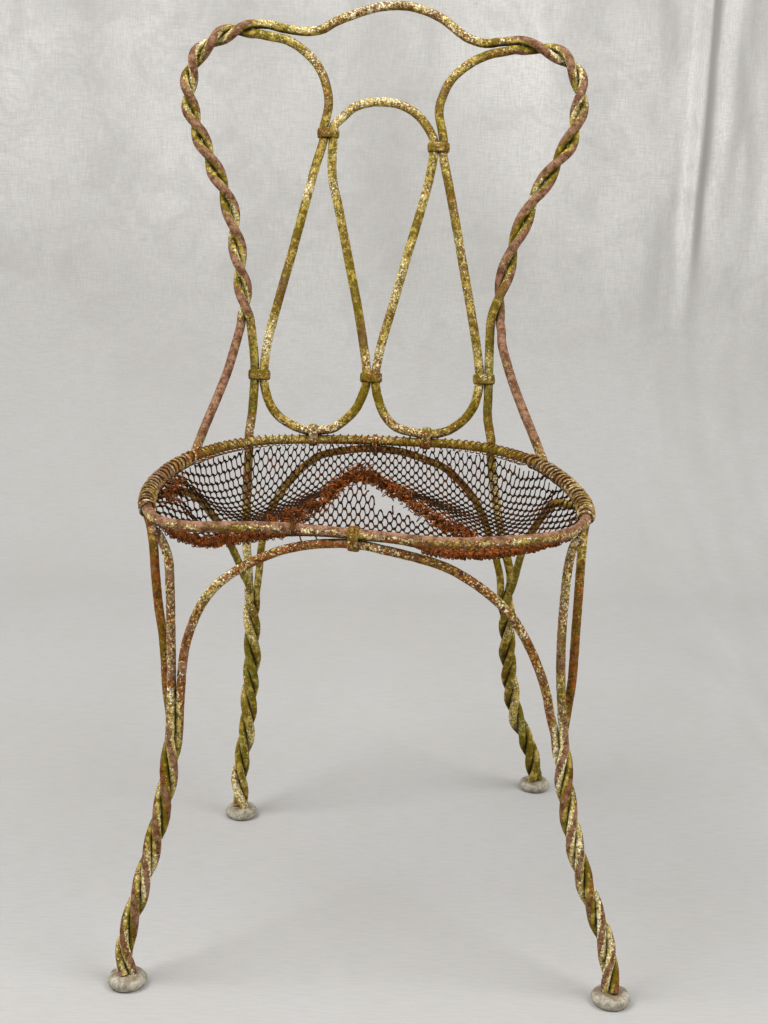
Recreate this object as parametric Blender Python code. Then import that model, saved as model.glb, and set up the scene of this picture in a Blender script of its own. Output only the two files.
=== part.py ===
"""Wrought iron garden chair: bent and twisted round rods, cast feet and a sagging wire net seat.

Lengths are metres, +Z is up, the sitter faces -Y and the image-left side is -X.
Tables of bends are in millimetres at the nominal sizes and are stretched by the named sizes.
"""
import math

import bmesh
import bpy
import numpy as np

# Overall sizes
SEAT_HEIGHT = 0.4315
SEAT_WIDTH = 0.4055
SEAT_DEPTH = 0.392
BACK_WIDTH = 0.415
BACK_RISE = 0.448
BACK_LEAN_TAN = 0.231
LEG_SPREAD = 1.0

# Stock sizes
BACK_ROD_D = 0.0095
RIM_ROD_D = 0.0095
APRON_ROD_D = 0.0080
BINDING_WIRE_D = 0.0018
FIT_GAP = 0.0003

# Feet
FOOT_D = 0.0354
FOOT_H = 0.0115
FOOT_FLAT_D = 0.0210

# Bands
COLLAR_H = 0.0100
COLLAR_WALL = 0.0016
TIE_W = 0.0092
TIE_WALL = 0.0016
REAR_TIE_W = 0.0050
CLAMP_W = 0.0087
CLAMP_WALL = 0.0018

# Twists
STILE_TURNS_LEFT = 5
STILE_TURNS_RIGHT = 4
LEG_TURNS = {"FL": 2.0, "FR": 2.35, "RL": 2.5, "RR": 2.5}
LEG_TWIST_TOP = {"FL": 0.242, "FR": 0.242, "RL": 0.254, "RR": 0.254}
BUNDLE_RUN = 0.008
LEG_PART_RISE = 0.012
STEPS_PER_TURN = 10

# Net
NET_COLS = 15
NET_ROWS = 12
NET_THICK = 0.0016
NET_EDGE_CELL = 0.925
NET_SAG = 0.047
NET_WIRE_W = 0.0034

# Runs of rods against the rim and through the collars
ARCH_RUN = 0.009
BOUND_RUN = 0.0165
TIED_RUN = 0.0065
CROSS_RUN = 0.006
COLLAR_RUN = 0.0068

# Bindings at the sides
BINDING_LOOPS = 7
BINDING_PITCH = 0.0030
BINDING_STEPS = 12
LEFT_BINDING_Y = -0.066
RIGHT_BINDING_Y = -0.052

# Places of the collars: millimetres across the back and above the seat, along the leaning back
COLLAR_POINTS = {
    "UL": (-57.9, 316.0),
    "UR": (59.0, 304.1),
    "LL": (-124.8, 66.3),
    "LC": (-6.0, 66.3),
    "LR": (113.9, 67.3),
}

# Heights in the tables of bends count from this far below the floor
TABLE_ZERO = 0.0045

# Plan of the seat rim, millimetres, counted round from the rear middle
RIM_PLAN = (
    (-0.1, 202), (-30.1, 202.5), (-60, 200.1), (-89.7, 196.2), (-118.1, 187), (-141.7, 168.8),
    (-160.2, 145.3), (-174.5, 119), (-185.2, 91), (-192.8, 62), (-198, 32.5), (-201.3, 2.8),
    (-202.4, -27.2), (-200.9, -57.1), (-197.2, -86.8), (-190.2, -115.9), (-176.9, -142.7),
    (-152.1, -157.2), (-122.2, -155.7), (-92.3, -153.4), (-62.5, -155.5), (-33.2, -161.9),
    (-4.2, -169.2), (24.7, -177.4), (53.6, -185.1), (83.5, -186), (112.5, -178.6), (140.8, -168.7),
    (166, -153), (182.3, -128.1), (191.2, -99.5), (195, -69.8), (195.4, -39.9), (193.5, -10),
    (189.7, 19.7), (184, 49.2), (177.3, 78.4), (168.4, 107), (155.2, 133.8), (137.7, 158.1),
    (115.9, 178.6), (89, 191.5), (59.6, 196.9), (29.7, 199.7),
)

# Crest wave from the left stile to the right stile, on the leaning back
CREST_WAVE = (
    (-123.8, 425.4), (-110.8, 422.4), (-91.8, 419.7), (-80, 419.4), (-66.4, 422.1), (-53, 430.1),
    (-32.8, 438.2), (-13.9, 444.4), (6, 447.6), (25.2, 447.1), (45.6, 441.8), (61.7, 434), (79.3, 421),
    (92.1, 414.4), (105.9, 411.7), (120.9, 413.4),
)
LOOP_LEFT = (
    (-121.8, 413.4), (-102.2, 409.3), (-82.2, 396.7), (-68.9, 382), (-61.4, 364.9), (-58.4, 347),
    (-60.9, 329.9),
)
LOOP_RIGHT = (
    (123.9, 403.4), (111.9, 400.9), (96.9, 394.9), (81.9, 385), (69.9, 373), (62.8, 359.1), (58.4, 342),
    (62.2, 321),
)
DROP_LEFT_OUT = ((-70.9, 280.8), (-78.6, 250.6), (-93.7, 190.6), (-105.9, 144.7), (-116.9, 99.6))
DROP_LEFT_IN = (
    (-15.2, 101.4), (-22.4, 139.2), (-30.7, 176), (-39.2, 214.1), (-44.9, 239), (-52.5, 271.9),
)
MIDDLE_ARCH = (
    (-43.9, 332), (-31, 343.2), (-15, 348.3), (0, 349.3), (16.1, 347.2), (30.6, 340.8), (43.8, 328.6),
)
DROP_RIGHT_IN = ((50.5, 273.9), (41.3, 237), (27.7, 188.5), (20.2, 160.5), (10.7, 125.5), (3.5, 98.4))
DROP_RIGHT_OUT = ((105, 101), (100, 127.7), (92.1, 165.8), (87.1, 189.9), (79.3, 227.6), (71.1, 264.8))
U_LEFT = ((-113.3, 37.2), (-103.2, 24), (-88, 14.7))
U_LEFT_END = ((-44.9, 12.9), (-33.7, 20.7), (-22.2, 32.3), (-14.2, 48.5))
U_RIGHT = ((1.8, 45.3), (9.9, 27.2), (22.1, 15.6))
U_RIGHT_END = ((77.7, 13.7), (93, 24.4), (103.7, 39.1))
U_TIE_X = (-66.0, 55.0)
UPRIGHT_LEFT = ((-131.3, 27.4), (-130.3, 45.4))
UPRIGHT_LEFT_HIGH = ((-131.4, 92.2),)
UPRIGHT_RIGHT = ((118.8, 29.3), (118.9, 49.4))
UPRIGHT_RIGHT_HIGH = ((118.8, 92.3),)

# Middle lines of the twisted stiles, top to bottom, and where their strands cross, as parts of the length
STILE_LEFT = (
    (-137.8, 420.6), (-153.9, 419.6), (-170.2, 414.6), (-182.4, 406.7), (-196.5, 394.5), (-203.4, 381.2),
    (-206.5, 367), (-207.1, 352), (-204, 336.9), (-198.8, 321.8), (-191.7, 305.9), (-183.5, 288.8),
    (-174.6, 270.7), (-166.8, 254.7), (-160.1, 236.9), (-155.5, 216.1), (-151.2, 196.1), (-148, 173.2),
    (-144.4, 155.2), (-142.2, 137.2), (-140.4, 120.2),
)
STILE_RIGHT = (
    (139.9, 410.8), (162.9, 408.1), (190.1, 398.2), (202.8, 382), (207.6, 362), (205.5, 341.1),
    (199.3, 318), (185.6, 293.2), (172.5, 272.3), (161.3, 253.1), (151, 230.1), (142, 207.2),
    (134.9, 182.1), (128.6, 157.2), (125.9, 139.2), (124.2, 126.3),
)
CROSS_LEFT = (0.046, 0.131, 0.221, 0.308, 0.398, 0.500, 0.606, 0.722, 0.840, 0.948)
CROSS_RIGHT = (0.062, 0.165, 0.262, 0.369, 0.486, 0.622, 0.770, 0.920)

# Foot of the leaning back at the nominal sizes, millimetres behind the middle
BACK_FOOT_MM = 198.6

# Free ends of the crest rod that run forward to the rim: x, y, height
BRACE_LEFT = (
    (-149.4, 212.9, 536.1), (-156.2, 188.5, 508.3), (-164.9, 166.6, 483.5), (-174.5, 144, 458.2),
)
BRACE_RIGHT = (
    (130.3, 218.8, 556), (130.9, 204.6, 542.2), (134.3, 194.9, 529.8), (141.7, 177.3, 507.6),
    (152.2, 156.7, 482.3), (163.3, 136.6, 457.8),
)
BRACE_END_LEFT_Y = 125.0
BRACE_END_RIGHT_Y = 125.0
BRACE_CLEAR = 0.99
BRACE_PAST = 0.0062

# Legs: middle lines from the foot up (x, y, height)
LEG_LINES = {
    "FL": (
        (-208.3, -165.2, 16.3), (-210.3, -163.3, 41), (-206.2, -162.2, 61.6), (-199.7, -161, 83.1),
        (-193, -159.6, 107.9), (-186.2, -158.2, 132.8), (-179.9, -156.9, 157.8), (-174.2, -155.5, 182.9),
        (-170.3, -154.2, 207), (-167.4, -152.9, 230), (-165.7, -151.8, 250),
    ),
    "FR": (
        (229.6, -172, 16.3), (227.5, -170, 31.9), (225.2, -168, 50.5), (219.5, -166, 70),
        (211.4, -163.8, 91.4), (204.2, -162, 109.3), (196.6, -159.6, 132.4), (189.5, -157.2, 157.5),
        (183.9, -154.7, 182.7), (179.7, -152.3, 206.9), (176.5, -149.8, 231), (174.4, -147.4, 250),
    ),
    "RL": (
        (-140.7, 182.8, 16.3), (-142.3, 184.3, 48), (-139.3, 185.5, 79), (-134.5, 186.8, 112),
        (-131.3, 188.2, 156), (-129.9, 189.8, 198), (-129.8, 191.2, 236), (-130.6, 192.2, 261.9),
    ),
    "RR": (
        (196.8, 275.6, 16.3), (192.5, 268, 39.8), (182.4, 258.3, 73.8), (168.3, 248.7, 108.7),
        (159.7, 239.3, 144.6), (154.5, 227.1, 187.8), (150.2, 215.2, 230.9), (146.7, 207.2, 261.9),
    ),
}
LEG_ANGLES = {"FL": (240, 0, 120), "FR": (300, 180, 60), "RL": (130, 10, 250), "RR": (50, 170, 290)}
LEG_HANDS = {"FL": -1, "FR": 1, "RL": -1, "RR": 1}

POST_LEFT = (
    (-167, -151.5, 290), (-167.4, -148.4, 322), (-167.8, -146.3, 352), (-168.4, -144.7, 381),
    (-170.2, -142.8, 405),
)
POST_RIGHT = (
    (174, -148.4, 275), (171.8, -145.3, 301), (171, -141.5, 325), (171.2, -138, 350), (172.6, -134.4, 385),
    (174.6, -131.8, 405),
)
POST_TIP_LEFT = (-178.6, -140.7)
POST_TIP_RIGHT = (178.1, -136.4)
UPRIGHT_X = (-128.0, 116.5)
UPRIGHT_LEFT_LOW = (
    (-134.8, 190.2, 401.2), (-136.5, 192.9, 350.7), (-136.3, 195.2, 315.2), (-134.6, 196.4, 288),
)
UPRIGHT_RIGHT_LOW = (
    (126.9, 193.6, 400.5), (137.1, 199.8, 345.8), (146.8, 205.5, 308.2), (152.4, 210.8, 282),
)

FRONT_ARCH_LEFT = (
    (-160.2, -152.6, 265), (-158.7, -153.5, 288), (-157, -155.5, 307.5), (-153.7, -157.5, 329),
    (-147.1, -159.3, 350.6), (-137.6, -161, 370.9), (-125.1, -161.5, 387.1), (-109.1, -155.2, 398.1),
    (-88.4, -154.1, 409.3), (-68.9, -155.8, 417.6), (-43.6, -159, 423.7),
)
FRONT_ARCH_RIGHT = (
    (14.2, -173.6, 424.7), (29.9, -176, 422.2), (55.7, -178.8, 416.5), (70.5, -176.8, 410.4),
    (83.9, -175.8, 402.9), (103.2, -172.3, 388.6), (122.1, -169, 370.4), (137, -164, 346.8),
    (148.9, -159.5, 321.6), (158.2, -154.5, 295.4), (163.7, -149.8, 271.6),
)
REAR_ARCH_LEFT = (
    (-123.1, 196.5, 286), (-120.5, 200.5, 318), (-114.5, 202.3, 347), (-105.8, 202.6, 367.2),
    (-91.9, 202.4, 387.3), (-76.1, 201.5, 405.1), (-58.9, 200.5, 418.1), (-33.3, 201.1, 424.3),
)
REAR_ARCH_RIGHT = (
    (33.5, 199.4, 423.9), (55.4, 198.4, 416.9), (74.5, 197.4, 409.3), (93.2, 198.4, 393),
    (108.6, 200.2, 373.9), (119.5, 202.5, 352), (128.5, 203.6, 327), (135.2, 203.4, 306),
    (140.4, 205.6, 284),
)
LEFT_ARCH_FRONT = (
    (-169.6, -145.2, 270), (-172.8, -142.5, 287), (-174.6, -137.7, 311), (-176.9, -133, 331.6),
    (-180.8, -128, 353), (-184.4, -121.5, 381), (-187.3, -113, 407), (-191.2, -103, 421),
)
LEFT_ARCH_REAR = (
    (-199.2, -26, 426.3), (-190.2, 6, 423.6), (-177.5, 50, 411.6), (-168.2, 74.2, 396.5),
    (-162.5, 94.7, 379.5), (-158.9, 106.4, 370), (-148.8, 139, 336), (-142.9, 158, 314),
    (-137.6, 174, 291), (-132.4, 183.5, 275),
)
RIGHT_ARCH_FRONT = (
    (179.6, -139, 272), (182.9, -133.8, 297.7), (184.2, -128, 320), (185.2, -122, 343.8),
    (187.3, -111, 386), (188.9, -101, 410), (191.3, -88, 421.5),
)
RIGHT_ARCH_REAR = (
    (190.9, -12, 425), (176.3, 30, 416), (171.3, 63.4, 398), (166, 84, 381), (158, 118, 350),
    (155, 150, 320), (154.2, 180, 294), (152.2, 196, 276),
)
FRONT_CLAMP_X = -9.5
REAR_TIE_X = 0.0

# Heights of the net against the rim, millimetres: x, then y and height down each column
NET_HEIGHTS = {
    -190: ((40, -7.5), (10, -6.8), (-30, -8), (-80, -9.5)),
    -183: ((60, -13), (30, -9), (0, -8.5), (-30, -12), (-60, -12), (-90, -13)),
    -177: ((50, -18), (75, -19)),
    -170: ((110, -15), (60, -26), (0, -31), (-60, -30), (-120, -19)),
    -135: ((160, -21), (130, -38), (100, -46), (60, -47), (0, -45), (-60, -39), (-110, -30), (-140, -20)),
    -90: ((170, -23), (140, -38), (110, -45), (60, -43), (20, -38), (-20, -36), (-60, -34), (-100, -24),
          (-130, -14)),
    -60: ((170, -21), (130, -36), (90, -34), (40, -28), (10, -26), (-20, -33), (-60, -32)),
    -40: ((170, -20), (140, -30), (100, -28), (60, -17), (35, -12), (10, -22), (-20, -35), (-40, -37),
          (-80, -26), (-120, -14)),
    -18: ((170, -18), (140, -25), (100, -18), (70, -6), (42, 2), (15, -15), (-15, -33), (-35, -36),
          (-80, -25), (-120, -13)),
    20: ((170, -20), (140, -28), (100, -25), (70, -16), (35, -13), (10, -23), (-20, -36), (-60, -34),
         (-100, -24), (-140, -13)),
    60: ((170, -22), (140, -35), (100, -37), (60, -31), (25, -31), (-20, -39), (-60, -39), (-100, -34),
         (-140, -24)),
    110: ((165, -22), (135, -38), (100, -46), (60, -46), (0, -45), (-60, -41), (-110, -33), (-140, -24),
          (-160, -14)),
    150: ((130, -17), (90, -32), (40, -38), (-20, -38), (-80, -33), (-120, -21)),
    180: ((60, -14), (30, -13), (0, -14), (-60, -18), (-100, -14)),
}
NET_RIM_HEIGHT = -4.0

# Outline of the tear in the net, seen from above, millimetres
NET_TEAR = (
    (-5, 29), (9, 36), (23, 33), (34, 32), (47, 17), (61, 23), (65, 15), (56, 4), (45, -1), (38, 1),
    (28, 5), (18, 9), (7, 5), (5, 15), (-3, 21),
)

SX = SEAT_WIDTH / 0.4055
SY = SEAT_DEPTH / 0.392
RIM_Z = SEAT_HEIGHT + TABLE_ZERO
SZ = RIM_Z / 0.436
BX = BACK_WIDTH / 0.415
BZ = BACK_RISE / 0.448
BACK_R = BACK_ROD_D / 2
RIM_R = RIM_ROD_D / 2
APRON_R = APRON_ROD_D / 2
CHORD_SLACK = 1.0 / math.cos(math.pi / STEPS_PER_TURN)


def unit(v):
    """Return v at length one."""
    return v / np.linalg.norm(v)


def spline(points, closed=False, per=14):
    """Dense centripetal curve through the points; also returns the index of each given point."""
    p = [np.asarray(q, float) for q in points]
    n = len(p)
    if closed:
        ext = [p[-1]] + p + [p[0], p[1]]
        spans = n
    else:
        ext = [2 * p[0] - p[1]] + p + [2 * p[-1] - p[-2]]
        spans = n - 1
    out = []
    marks = []
    for i in range(spans):
        a, b, c, d = ext[i:i + 4]
        t0 = 0.0
        t1 = t0 + max(np.linalg.norm(b - a), 1e-9) ** 0.5
        t2 = t1 + max(np.linalg.norm(c - b), 1e-9) ** 0.5
        t3 = t2 + max(np.linalg.norm(d - c), 1e-9) ** 0.5
        marks.append(len(out))
        for k in range(per):
            t = t1 + (t2 - t1) * k / per
            a1 = (t1 - t) / (t1 - t0) * a + (t - t0) / (t1 - t0) * b
            a2 = (t2 - t) / (t2 - t1) * b + (t - t1) / (t2 - t1) * c
            a3 = (t3 - t) / (t3 - t2) * c + (t - t2) / (t3 - t2) * d
            b1 = (t2 - t) / (t2 - t0) * a1 + (t - t0) / (t2 - t0) * a2
            b2 = (t3 - t) / (t3 - t1) * a2 + (t - t1) / (t3 - t1) * a3
            out.append((t2 - t) / (t2 - t1) * b1 + (t - t1) / (t2 - t1) * b2)
    if not closed:
        marks.append(len(out))
        out.append(p[-1])
    return np.array(out), marks


def thin(dense, max_turn=14.0, max_len=0.045, min_len=0.003):
    """Keep only as many points of a dense line as its bends need; both ends stay."""
    keep = [0]
    last_dir = unit(dense[1] - dense[0])
    for i in range(1, len(dense) - 1):
        here = unit(dense[i + 1] - dense[i])
        dist = np.linalg.norm(dense[i] - dense[keep[-1]])
        turn = math.degrees(math.acos(max(-1.0, min(1.0, float(here @ last_dir)))))
        if dist >= min_len and (turn >= max_turn or dist >= max_len):
            keep.append(i)
            last_dir = here
    if np.linalg.norm(dense[-1] - dense[keep[-1]]) < min_len and len(keep) > 1:
        keep.pop()
    keep.append(len(dense) - 1)
    return dense[keep]


def free_run(before, controls, after):
    """Free bends between two fixed runs; each run lends two points for the direction."""
    pts = list(before[-2:]) + list(controls) + list(after[:2])
    dense, marks = spline(pts)
    start = marks[len(before[-2:]) - 1] if len(before) else 0
    end = marks[len(pts) - len(after[:2])] if len(after) else len(dense) - 1
    return thin(dense[start:end + 1])


def chain(*parts):
    """Join fixed runs (arrays) and free bends (lists of points) into one line."""
    line = []
    fixed = [isinstance(q, np.ndarray) for q in parts]
    for i, part in enumerate(parts):
        if fixed[i]:
            pts = part
        else:
            before = parts[i - 1] if i > 0 else np.empty((0, 3))
            after = parts[i + 1] if i + 1 < len(parts) else np.empty((0, 3))
            pts = free_run(before, part, after)
            if len(before):
                pts = pts[1:]
            if len(after):
                pts = pts[:-1]
        line.extend(pts)
    return np.array(line)


def new_object(name, verts, faces, color, rough, metal=0.0):
    """Make one named mesh object with its own material."""
    mesh = bpy.data.meshes.new(name)
    mesh.from_pydata([tuple(float(c) for c in v) for v in verts], [], faces)
    bm = bmesh.new()
    bm.from_mesh(mesh)
    bmesh.ops.recalc_face_normals(bm, faces=bm.faces)
    bm.to_mesh(mesh)
    bm.free()
    mesh.shade_smooth()
    obj = bpy.data.objects.new(name, mesh)
    bpy.context.scene.collection.objects.link(obj)
    mat = bpy.data.materials.new(name)
    mat.use_nodes = True
    shader = next(n for n in mat.node_tree.nodes if n.type == "BSDF_PRINCIPLED")
    shader.inputs["Base Color"].default_value = (*color, 1.0)
    shader.inputs["Roughness"].default_value = rough
    shader.inputs["Metallic"].default_value = metal
    mesh.materials.append(mat)
    return obj


def tube_mesh(line, radius, sides, closed=False, flat_ends=(None, None)):
    """Rings of a round rod along a line; flat_ends gives a level height for an end."""
    n = len(line)
    if closed:
        tang = [unit(line[(i + 1) % n] - line[i - 1]) for i in range(n)]
    else:
        tang = []
        for i in range(n):
            a = line[i] - line[i - 1] if i else line[1] - line[0]
            b = line[i + 1] - line[i] if i < n - 1 else line[-1] - line[-2]
            tang.append(unit(unit(a) + unit(b)))
    ref = np.array((0.0, 0.0, 1.0)) if abs(tang[0][2]) < 0.9 else np.array((0.0, 1.0, 0.0))
    u = unit(np.cross(tang[0], ref))
    frames = [u]
    for i in range(1, n):
        u = frames[-1] - tang[i] * (frames[-1] @ tang[i])
        frames.append(unit(u))
    roll = 0.0
    if closed:
        u = frames[-1] - tang[0] * (frames[-1] @ tang[0])
        u = unit(u)
        w = np.cross(tang[0], frames[0])
        roll = -math.atan2(float(u @ w), float(u @ frames[0]))
    verts = []
    for i in range(n):
        w = np.cross(tang[i], frames[i])
        turn = roll * i / n
        for k in range(sides):
            a = 2 * math.pi * k / sides + turn
            verts.append(line[i] + radius * (math.cos(a) * frames[i] + math.sin(a) * w))
    for end, level in ((0, flat_ends[0]), (n - 1, flat_ends[1])):
        if level is None:
            continue
        for k in range(sides):
            v = verts[end * sides + k]
            verts[end * sides + k] = v + tang[end] * ((level - v[2]) / tang[end][2])
    faces = []
    for i in range(n if closed else n - 1):
        j = (i + 1) % n
        for k in range(sides):
            m = (k + 1) % sides
            faces.append((i * sides + k, i * sides + m, j * sides + m, j * sides + k))
    if not closed:
        faces.append(tuple(range(sides)))
        faces.append(tuple((n - 1) * sides + k for k in reversed(range(sides))))
    return verts, faces


def rod(name, line, radius, color, sides=8, closed=False, flat_ends=(None, None)):
    """One rod object."""
    verts, faces = tube_mesh(line, radius, sides, closed, flat_ends)
    return new_object(name, verts, faces, color, 0.75, 0.2)


def at_back(x_mm, up_mm):
    """Point on the leaning plane of the back."""
    up = up_mm * 0.001 * BZ
    return np.array((x_mm * 0.001 * BX, BACK_FOOT_Y + up * BACK_LEAN_TAN, RIM_Z + up))


def at_leg(x_mm, y_mm, z_mm):
    """Point of the lower frame."""
    spread = 1.0 + (LEG_SPREAD - 1.0) * (1.0 - z_mm / 436.0)
    return np.array((x_mm * SX * spread, y_mm * SY * spread, z_mm * SZ)) * 0.001


def legs(points, *keys):
    """Points of the lower frame, as a list; only those clear above the bound tops of the named legs."""
    out = [at_leg(*p) for p in points]
    for key in keys:
        floor = (LEG_TWIST_TOP[key] + BUNDLE_RUN) * SZ + LEG_PART_RISE * 0.2
        side = at_leg(*LEG_LINES[key][-1])
        out = [p for p in out if p[2] > floor or np.linalg.norm(p[:2] - side[:2]) > 0.06]
    return out


def backs(points):
    """Points on the back, as a list."""
    return [at_back(*p) for p in points]


RIM_CONTROLS = [(x * 0.001 * SX, y * 0.001 * SY, RIM_Z) for x, y in RIM_PLAN]
RIM_DENSE, _ = spline(RIM_CONTROLS, closed=True, per=16)
RIM_STEP = np.linalg.norm(np.roll(RIM_DENSE, -1, axis=0) - RIM_DENSE, axis=1)
RIM_LEN = float(RIM_STEP.sum())
RIM_ARC = np.concatenate(([0.0], np.cumsum(RIM_STEP)))


def rim_point(s):
    """Rim middle at a length s, with its direction and its outward direction."""
    s = s % RIM_LEN
    i = min(int(np.searchsorted(RIM_ARC, s, side="right")) - 1, len(RIM_DENSE) - 1)
    a = RIM_DENSE[i]
    b = RIM_DENSE[(i + 1) % len(RIM_DENSE)]
    p = a + (b - a) * (s - RIM_ARC[i]) / RIM_STEP[i]
    before = RIM_DENSE[i - 3]
    after = RIM_DENSE[(i + 4) % len(RIM_DENSE)]
    t = unit(after - before)
    out = np.array((t[1], -t[0], 0.0))
    if out @ p < 0:
        out = -out
    return p, t, out


def rim_arc_near(x_mm, y_mm):
    """Length along the rim that is nearest to a plan point."""
    q = np.array((x_mm * 0.001 * SX, y_mm * 0.001 * SY))
    i = int(np.argmin(np.linalg.norm(RIM_DENSE[:, :2] - q, axis=1)))
    return float(RIM_ARC[i])


def rim_arc_at_x(x, rear):
    """Length along the rear or front run of the rim where it has this x, in metres."""
    side = RIM_DENSE[:, 1] > 0 if rear else RIM_DENSE[:, 1] < 0
    d = np.where(side, np.abs(RIM_DENSE[:, 0] - x), 9.0)
    return float(RIM_ARC[int(np.argmin(d))])


def under_rim(s, reach=ARCH_RUN, radius=APRON_R):
    """Straight run below the rim that touches it, but for the fit gap."""
    drop = RIM_R + radius + FIT_GAP
    return np.array([rim_point(s + k)[0] - (0, 0, drop) for k in (-reach, 0.0, reach)])


BACK_FOOT_Y = float(
    (rim_point(rim_arc_at_x(U_TIE_X[0] * 0.001 * BX, True))[0][1]
     + rim_point(rim_arc_at_x(U_TIE_X[1] * 0.001 * BX, True))[0][1]) / 2
    - BACK_LEAN_TAN * (RIM_R + BACK_R + FIT_GAP)
)
BACK_UP = unit(np.array((0.0, BACK_LEAN_TAN, 1.0)))
BACK_FRONT = unit(np.array((0.0, -1.0, BACK_LEAN_TAN)))


def lane(collar, side, order=1, half=COLLAR_RUN):
    """Straight run of a rod through a collar: side is -1 or +1, order +1 runs upward."""
    c = at_back(*COLLAR_POINTS[collar])
    off = side * (BACK_R + FIT_GAP / 2)
    return np.array([c + np.array((off, 0, 0)) + BACK_UP * half * k * order for k in (-1, 0, 1)])


def stile(points, crossings, turns, outward):
    """Two strands of a twisted stile, top to bottom: the crest strand and the scroll strand."""
    dense, _ = spline(backs(points), per=20)
    arc = np.concatenate(([0.0], np.cumsum(np.linalg.norm(np.diff(dense, axis=0), axis=1))))
    knots = [0.0] + [c for c in crossings] + [1.0]
    angles = [0.0] + [math.pi * (0.5 + k) for k in range(len(crossings))] + [2 * math.pi * turns]
    steps = turns * STEPS_PER_TURN
    first, second = [], []
    radius = (BACK_R + FIT_GAP / 2) * CHORD_SLACK
    for i in range(steps + 1):
        theta = 2 * math.pi * turns * i / steps
        f = float(np.interp(theta, angles, knots))
        s = f * arc[-1]
        p = np.array([np.interp(s, arc, dense[:, c]) for c in range(3)])
        s1, s0 = min(s + 0.004, arc[-1]), max(s - 0.004, 0.0)
        ahead = np.array([np.interp(s1, arc, dense[:, c]) for c in range(3)])
        t = unit(ahead - np.array([np.interp(s0, arc, dense[:, c]) for c in range(3)]))
        n1 = unit(np.cross(t, BACK_FRONT)) * outward
        off = radius * (math.cos(theta) * n1 + math.sin(theta) * BACK_FRONT)
        first.append(p + off)
        second.append(p - off)
    return np.array(first), np.array(second)


def bundle(radii):
    """Places of three touching rods round their common middle: lists of radius and angle."""
    k = CHORD_SLACK * 1.012
    d01 = (radii[0] + radii[1] + FIT_GAP) * k
    d12 = (radii[1] + radii[2] + FIT_GAP) * k
    d02 = (radii[0] + radii[2] + FIT_GAP) * k
    a = np.array((0.0, 0.0))
    b = np.array((d01, 0.0))
    x = (d01 ** 2 + d02 ** 2 - d12 ** 2) / (2 * d01)
    c = np.array((x, math.sqrt(d02 ** 2 - x ** 2)))
    mid = (a + b + c) / 3
    pts = [a - mid, b - mid, c - mid]
    base = math.atan2(pts[0][1], pts[0][0])
    return [(float(np.hypot(*p)), math.atan2(p[1], p[0]) - base) for p in pts]


def leg_strands(key, radii):
    """Three strands of a leg from the foot up, in the order of LEG_ANGLES."""
    middle = legs(LEG_LINES[key])
    bundle_top = (LEG_TWIST_TOP[key] + BUNDLE_RUN) * SZ
    reach = bundle_top + LEG_PART_RISE - middle[-1][2]
    if reach > LEG_PART_RISE:
        slope = (middle[-1] - middle[-2]) / (middle[-1][2] - middle[-2][2])
        middle.append(middle[-1] + slope * reach)
    dense, _ = spline(middle, per=16)
    arc = np.concatenate(([0.0], np.cumsum(np.linalg.norm(np.diff(dense, axis=0), axis=1))))
    top = float(np.interp(bundle_top, dense[:, 2], arc))
    twist_top = float(np.interp(LEG_TWIST_TOP[key] * SZ, dense[:, 2], arc))
    turns = LEG_TURNS[key]
    steps = int(math.ceil(turns * STEPS_PER_TURN))
    stations = [(twist_top * i / steps, -2 * math.pi * turns * (1 - i / steps)) for i in range(steps + 1)]
    stations.append((top, 0.0))
    spots = bundle(radii)
    angles = [math.radians(a) for a in LEG_ANGLES[key]]
    order = 1.0 if (angles[1] - angles[0]) % (2 * math.pi) < math.pi else -1.0
    strands = [[], [], []]
    for s, turn in stations:
        p = np.array([np.interp(s, arc, dense[:, c]) for c in range(3)])
        q1 = np.array([np.interp(min(s + 0.004, arc[-1]), arc, dense[:, c]) for c in range(3)])
        q0 = np.array([np.interp(max(s - 0.004, 0.0), arc, dense[:, c]) for c in range(3)])
        t = unit(q1 - q0)
        ex = unit(np.array((1.0, 0, 0)) - t * t[0])
        ey = np.cross(t, ex)
        for k in range(3):
            rad, phi = spots[k]
            a = angles[0] + order * phi + LEG_HANDS[key] * turn
            strands[k].append(p + rad * (math.cos(a) * ex + math.sin(a) * ey))
    return [np.array(q) for q in strands]


def hull_outline(c1, r1, c2, r2, grow, count):
    """Outline round two circles in a plane, grown outward; returns plane points."""
    axis = c2 - c1
    dist = float(np.hypot(*axis))
    base = math.atan2(axis[1], axis[0])
    tilt = math.asin(max(-1.0, min(1.0, (r1 - r2) / dist)))
    half = count // 2
    pts = []
    for k in range(half):
        a = base - math.pi / 2 + tilt + (math.pi - 2 * tilt) * k / (half - 1)
        pts.append(c2 + (r2 + grow) * np.array((math.cos(a), math.sin(a))))
    for k in range(half):
        a = base + math.pi / 2 - tilt + (math.pi + 2 * tilt) * k / (half - 1)
        pts.append(c1 + (r1 + grow) * np.array((math.cos(a), math.sin(a))))
    return pts


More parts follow.
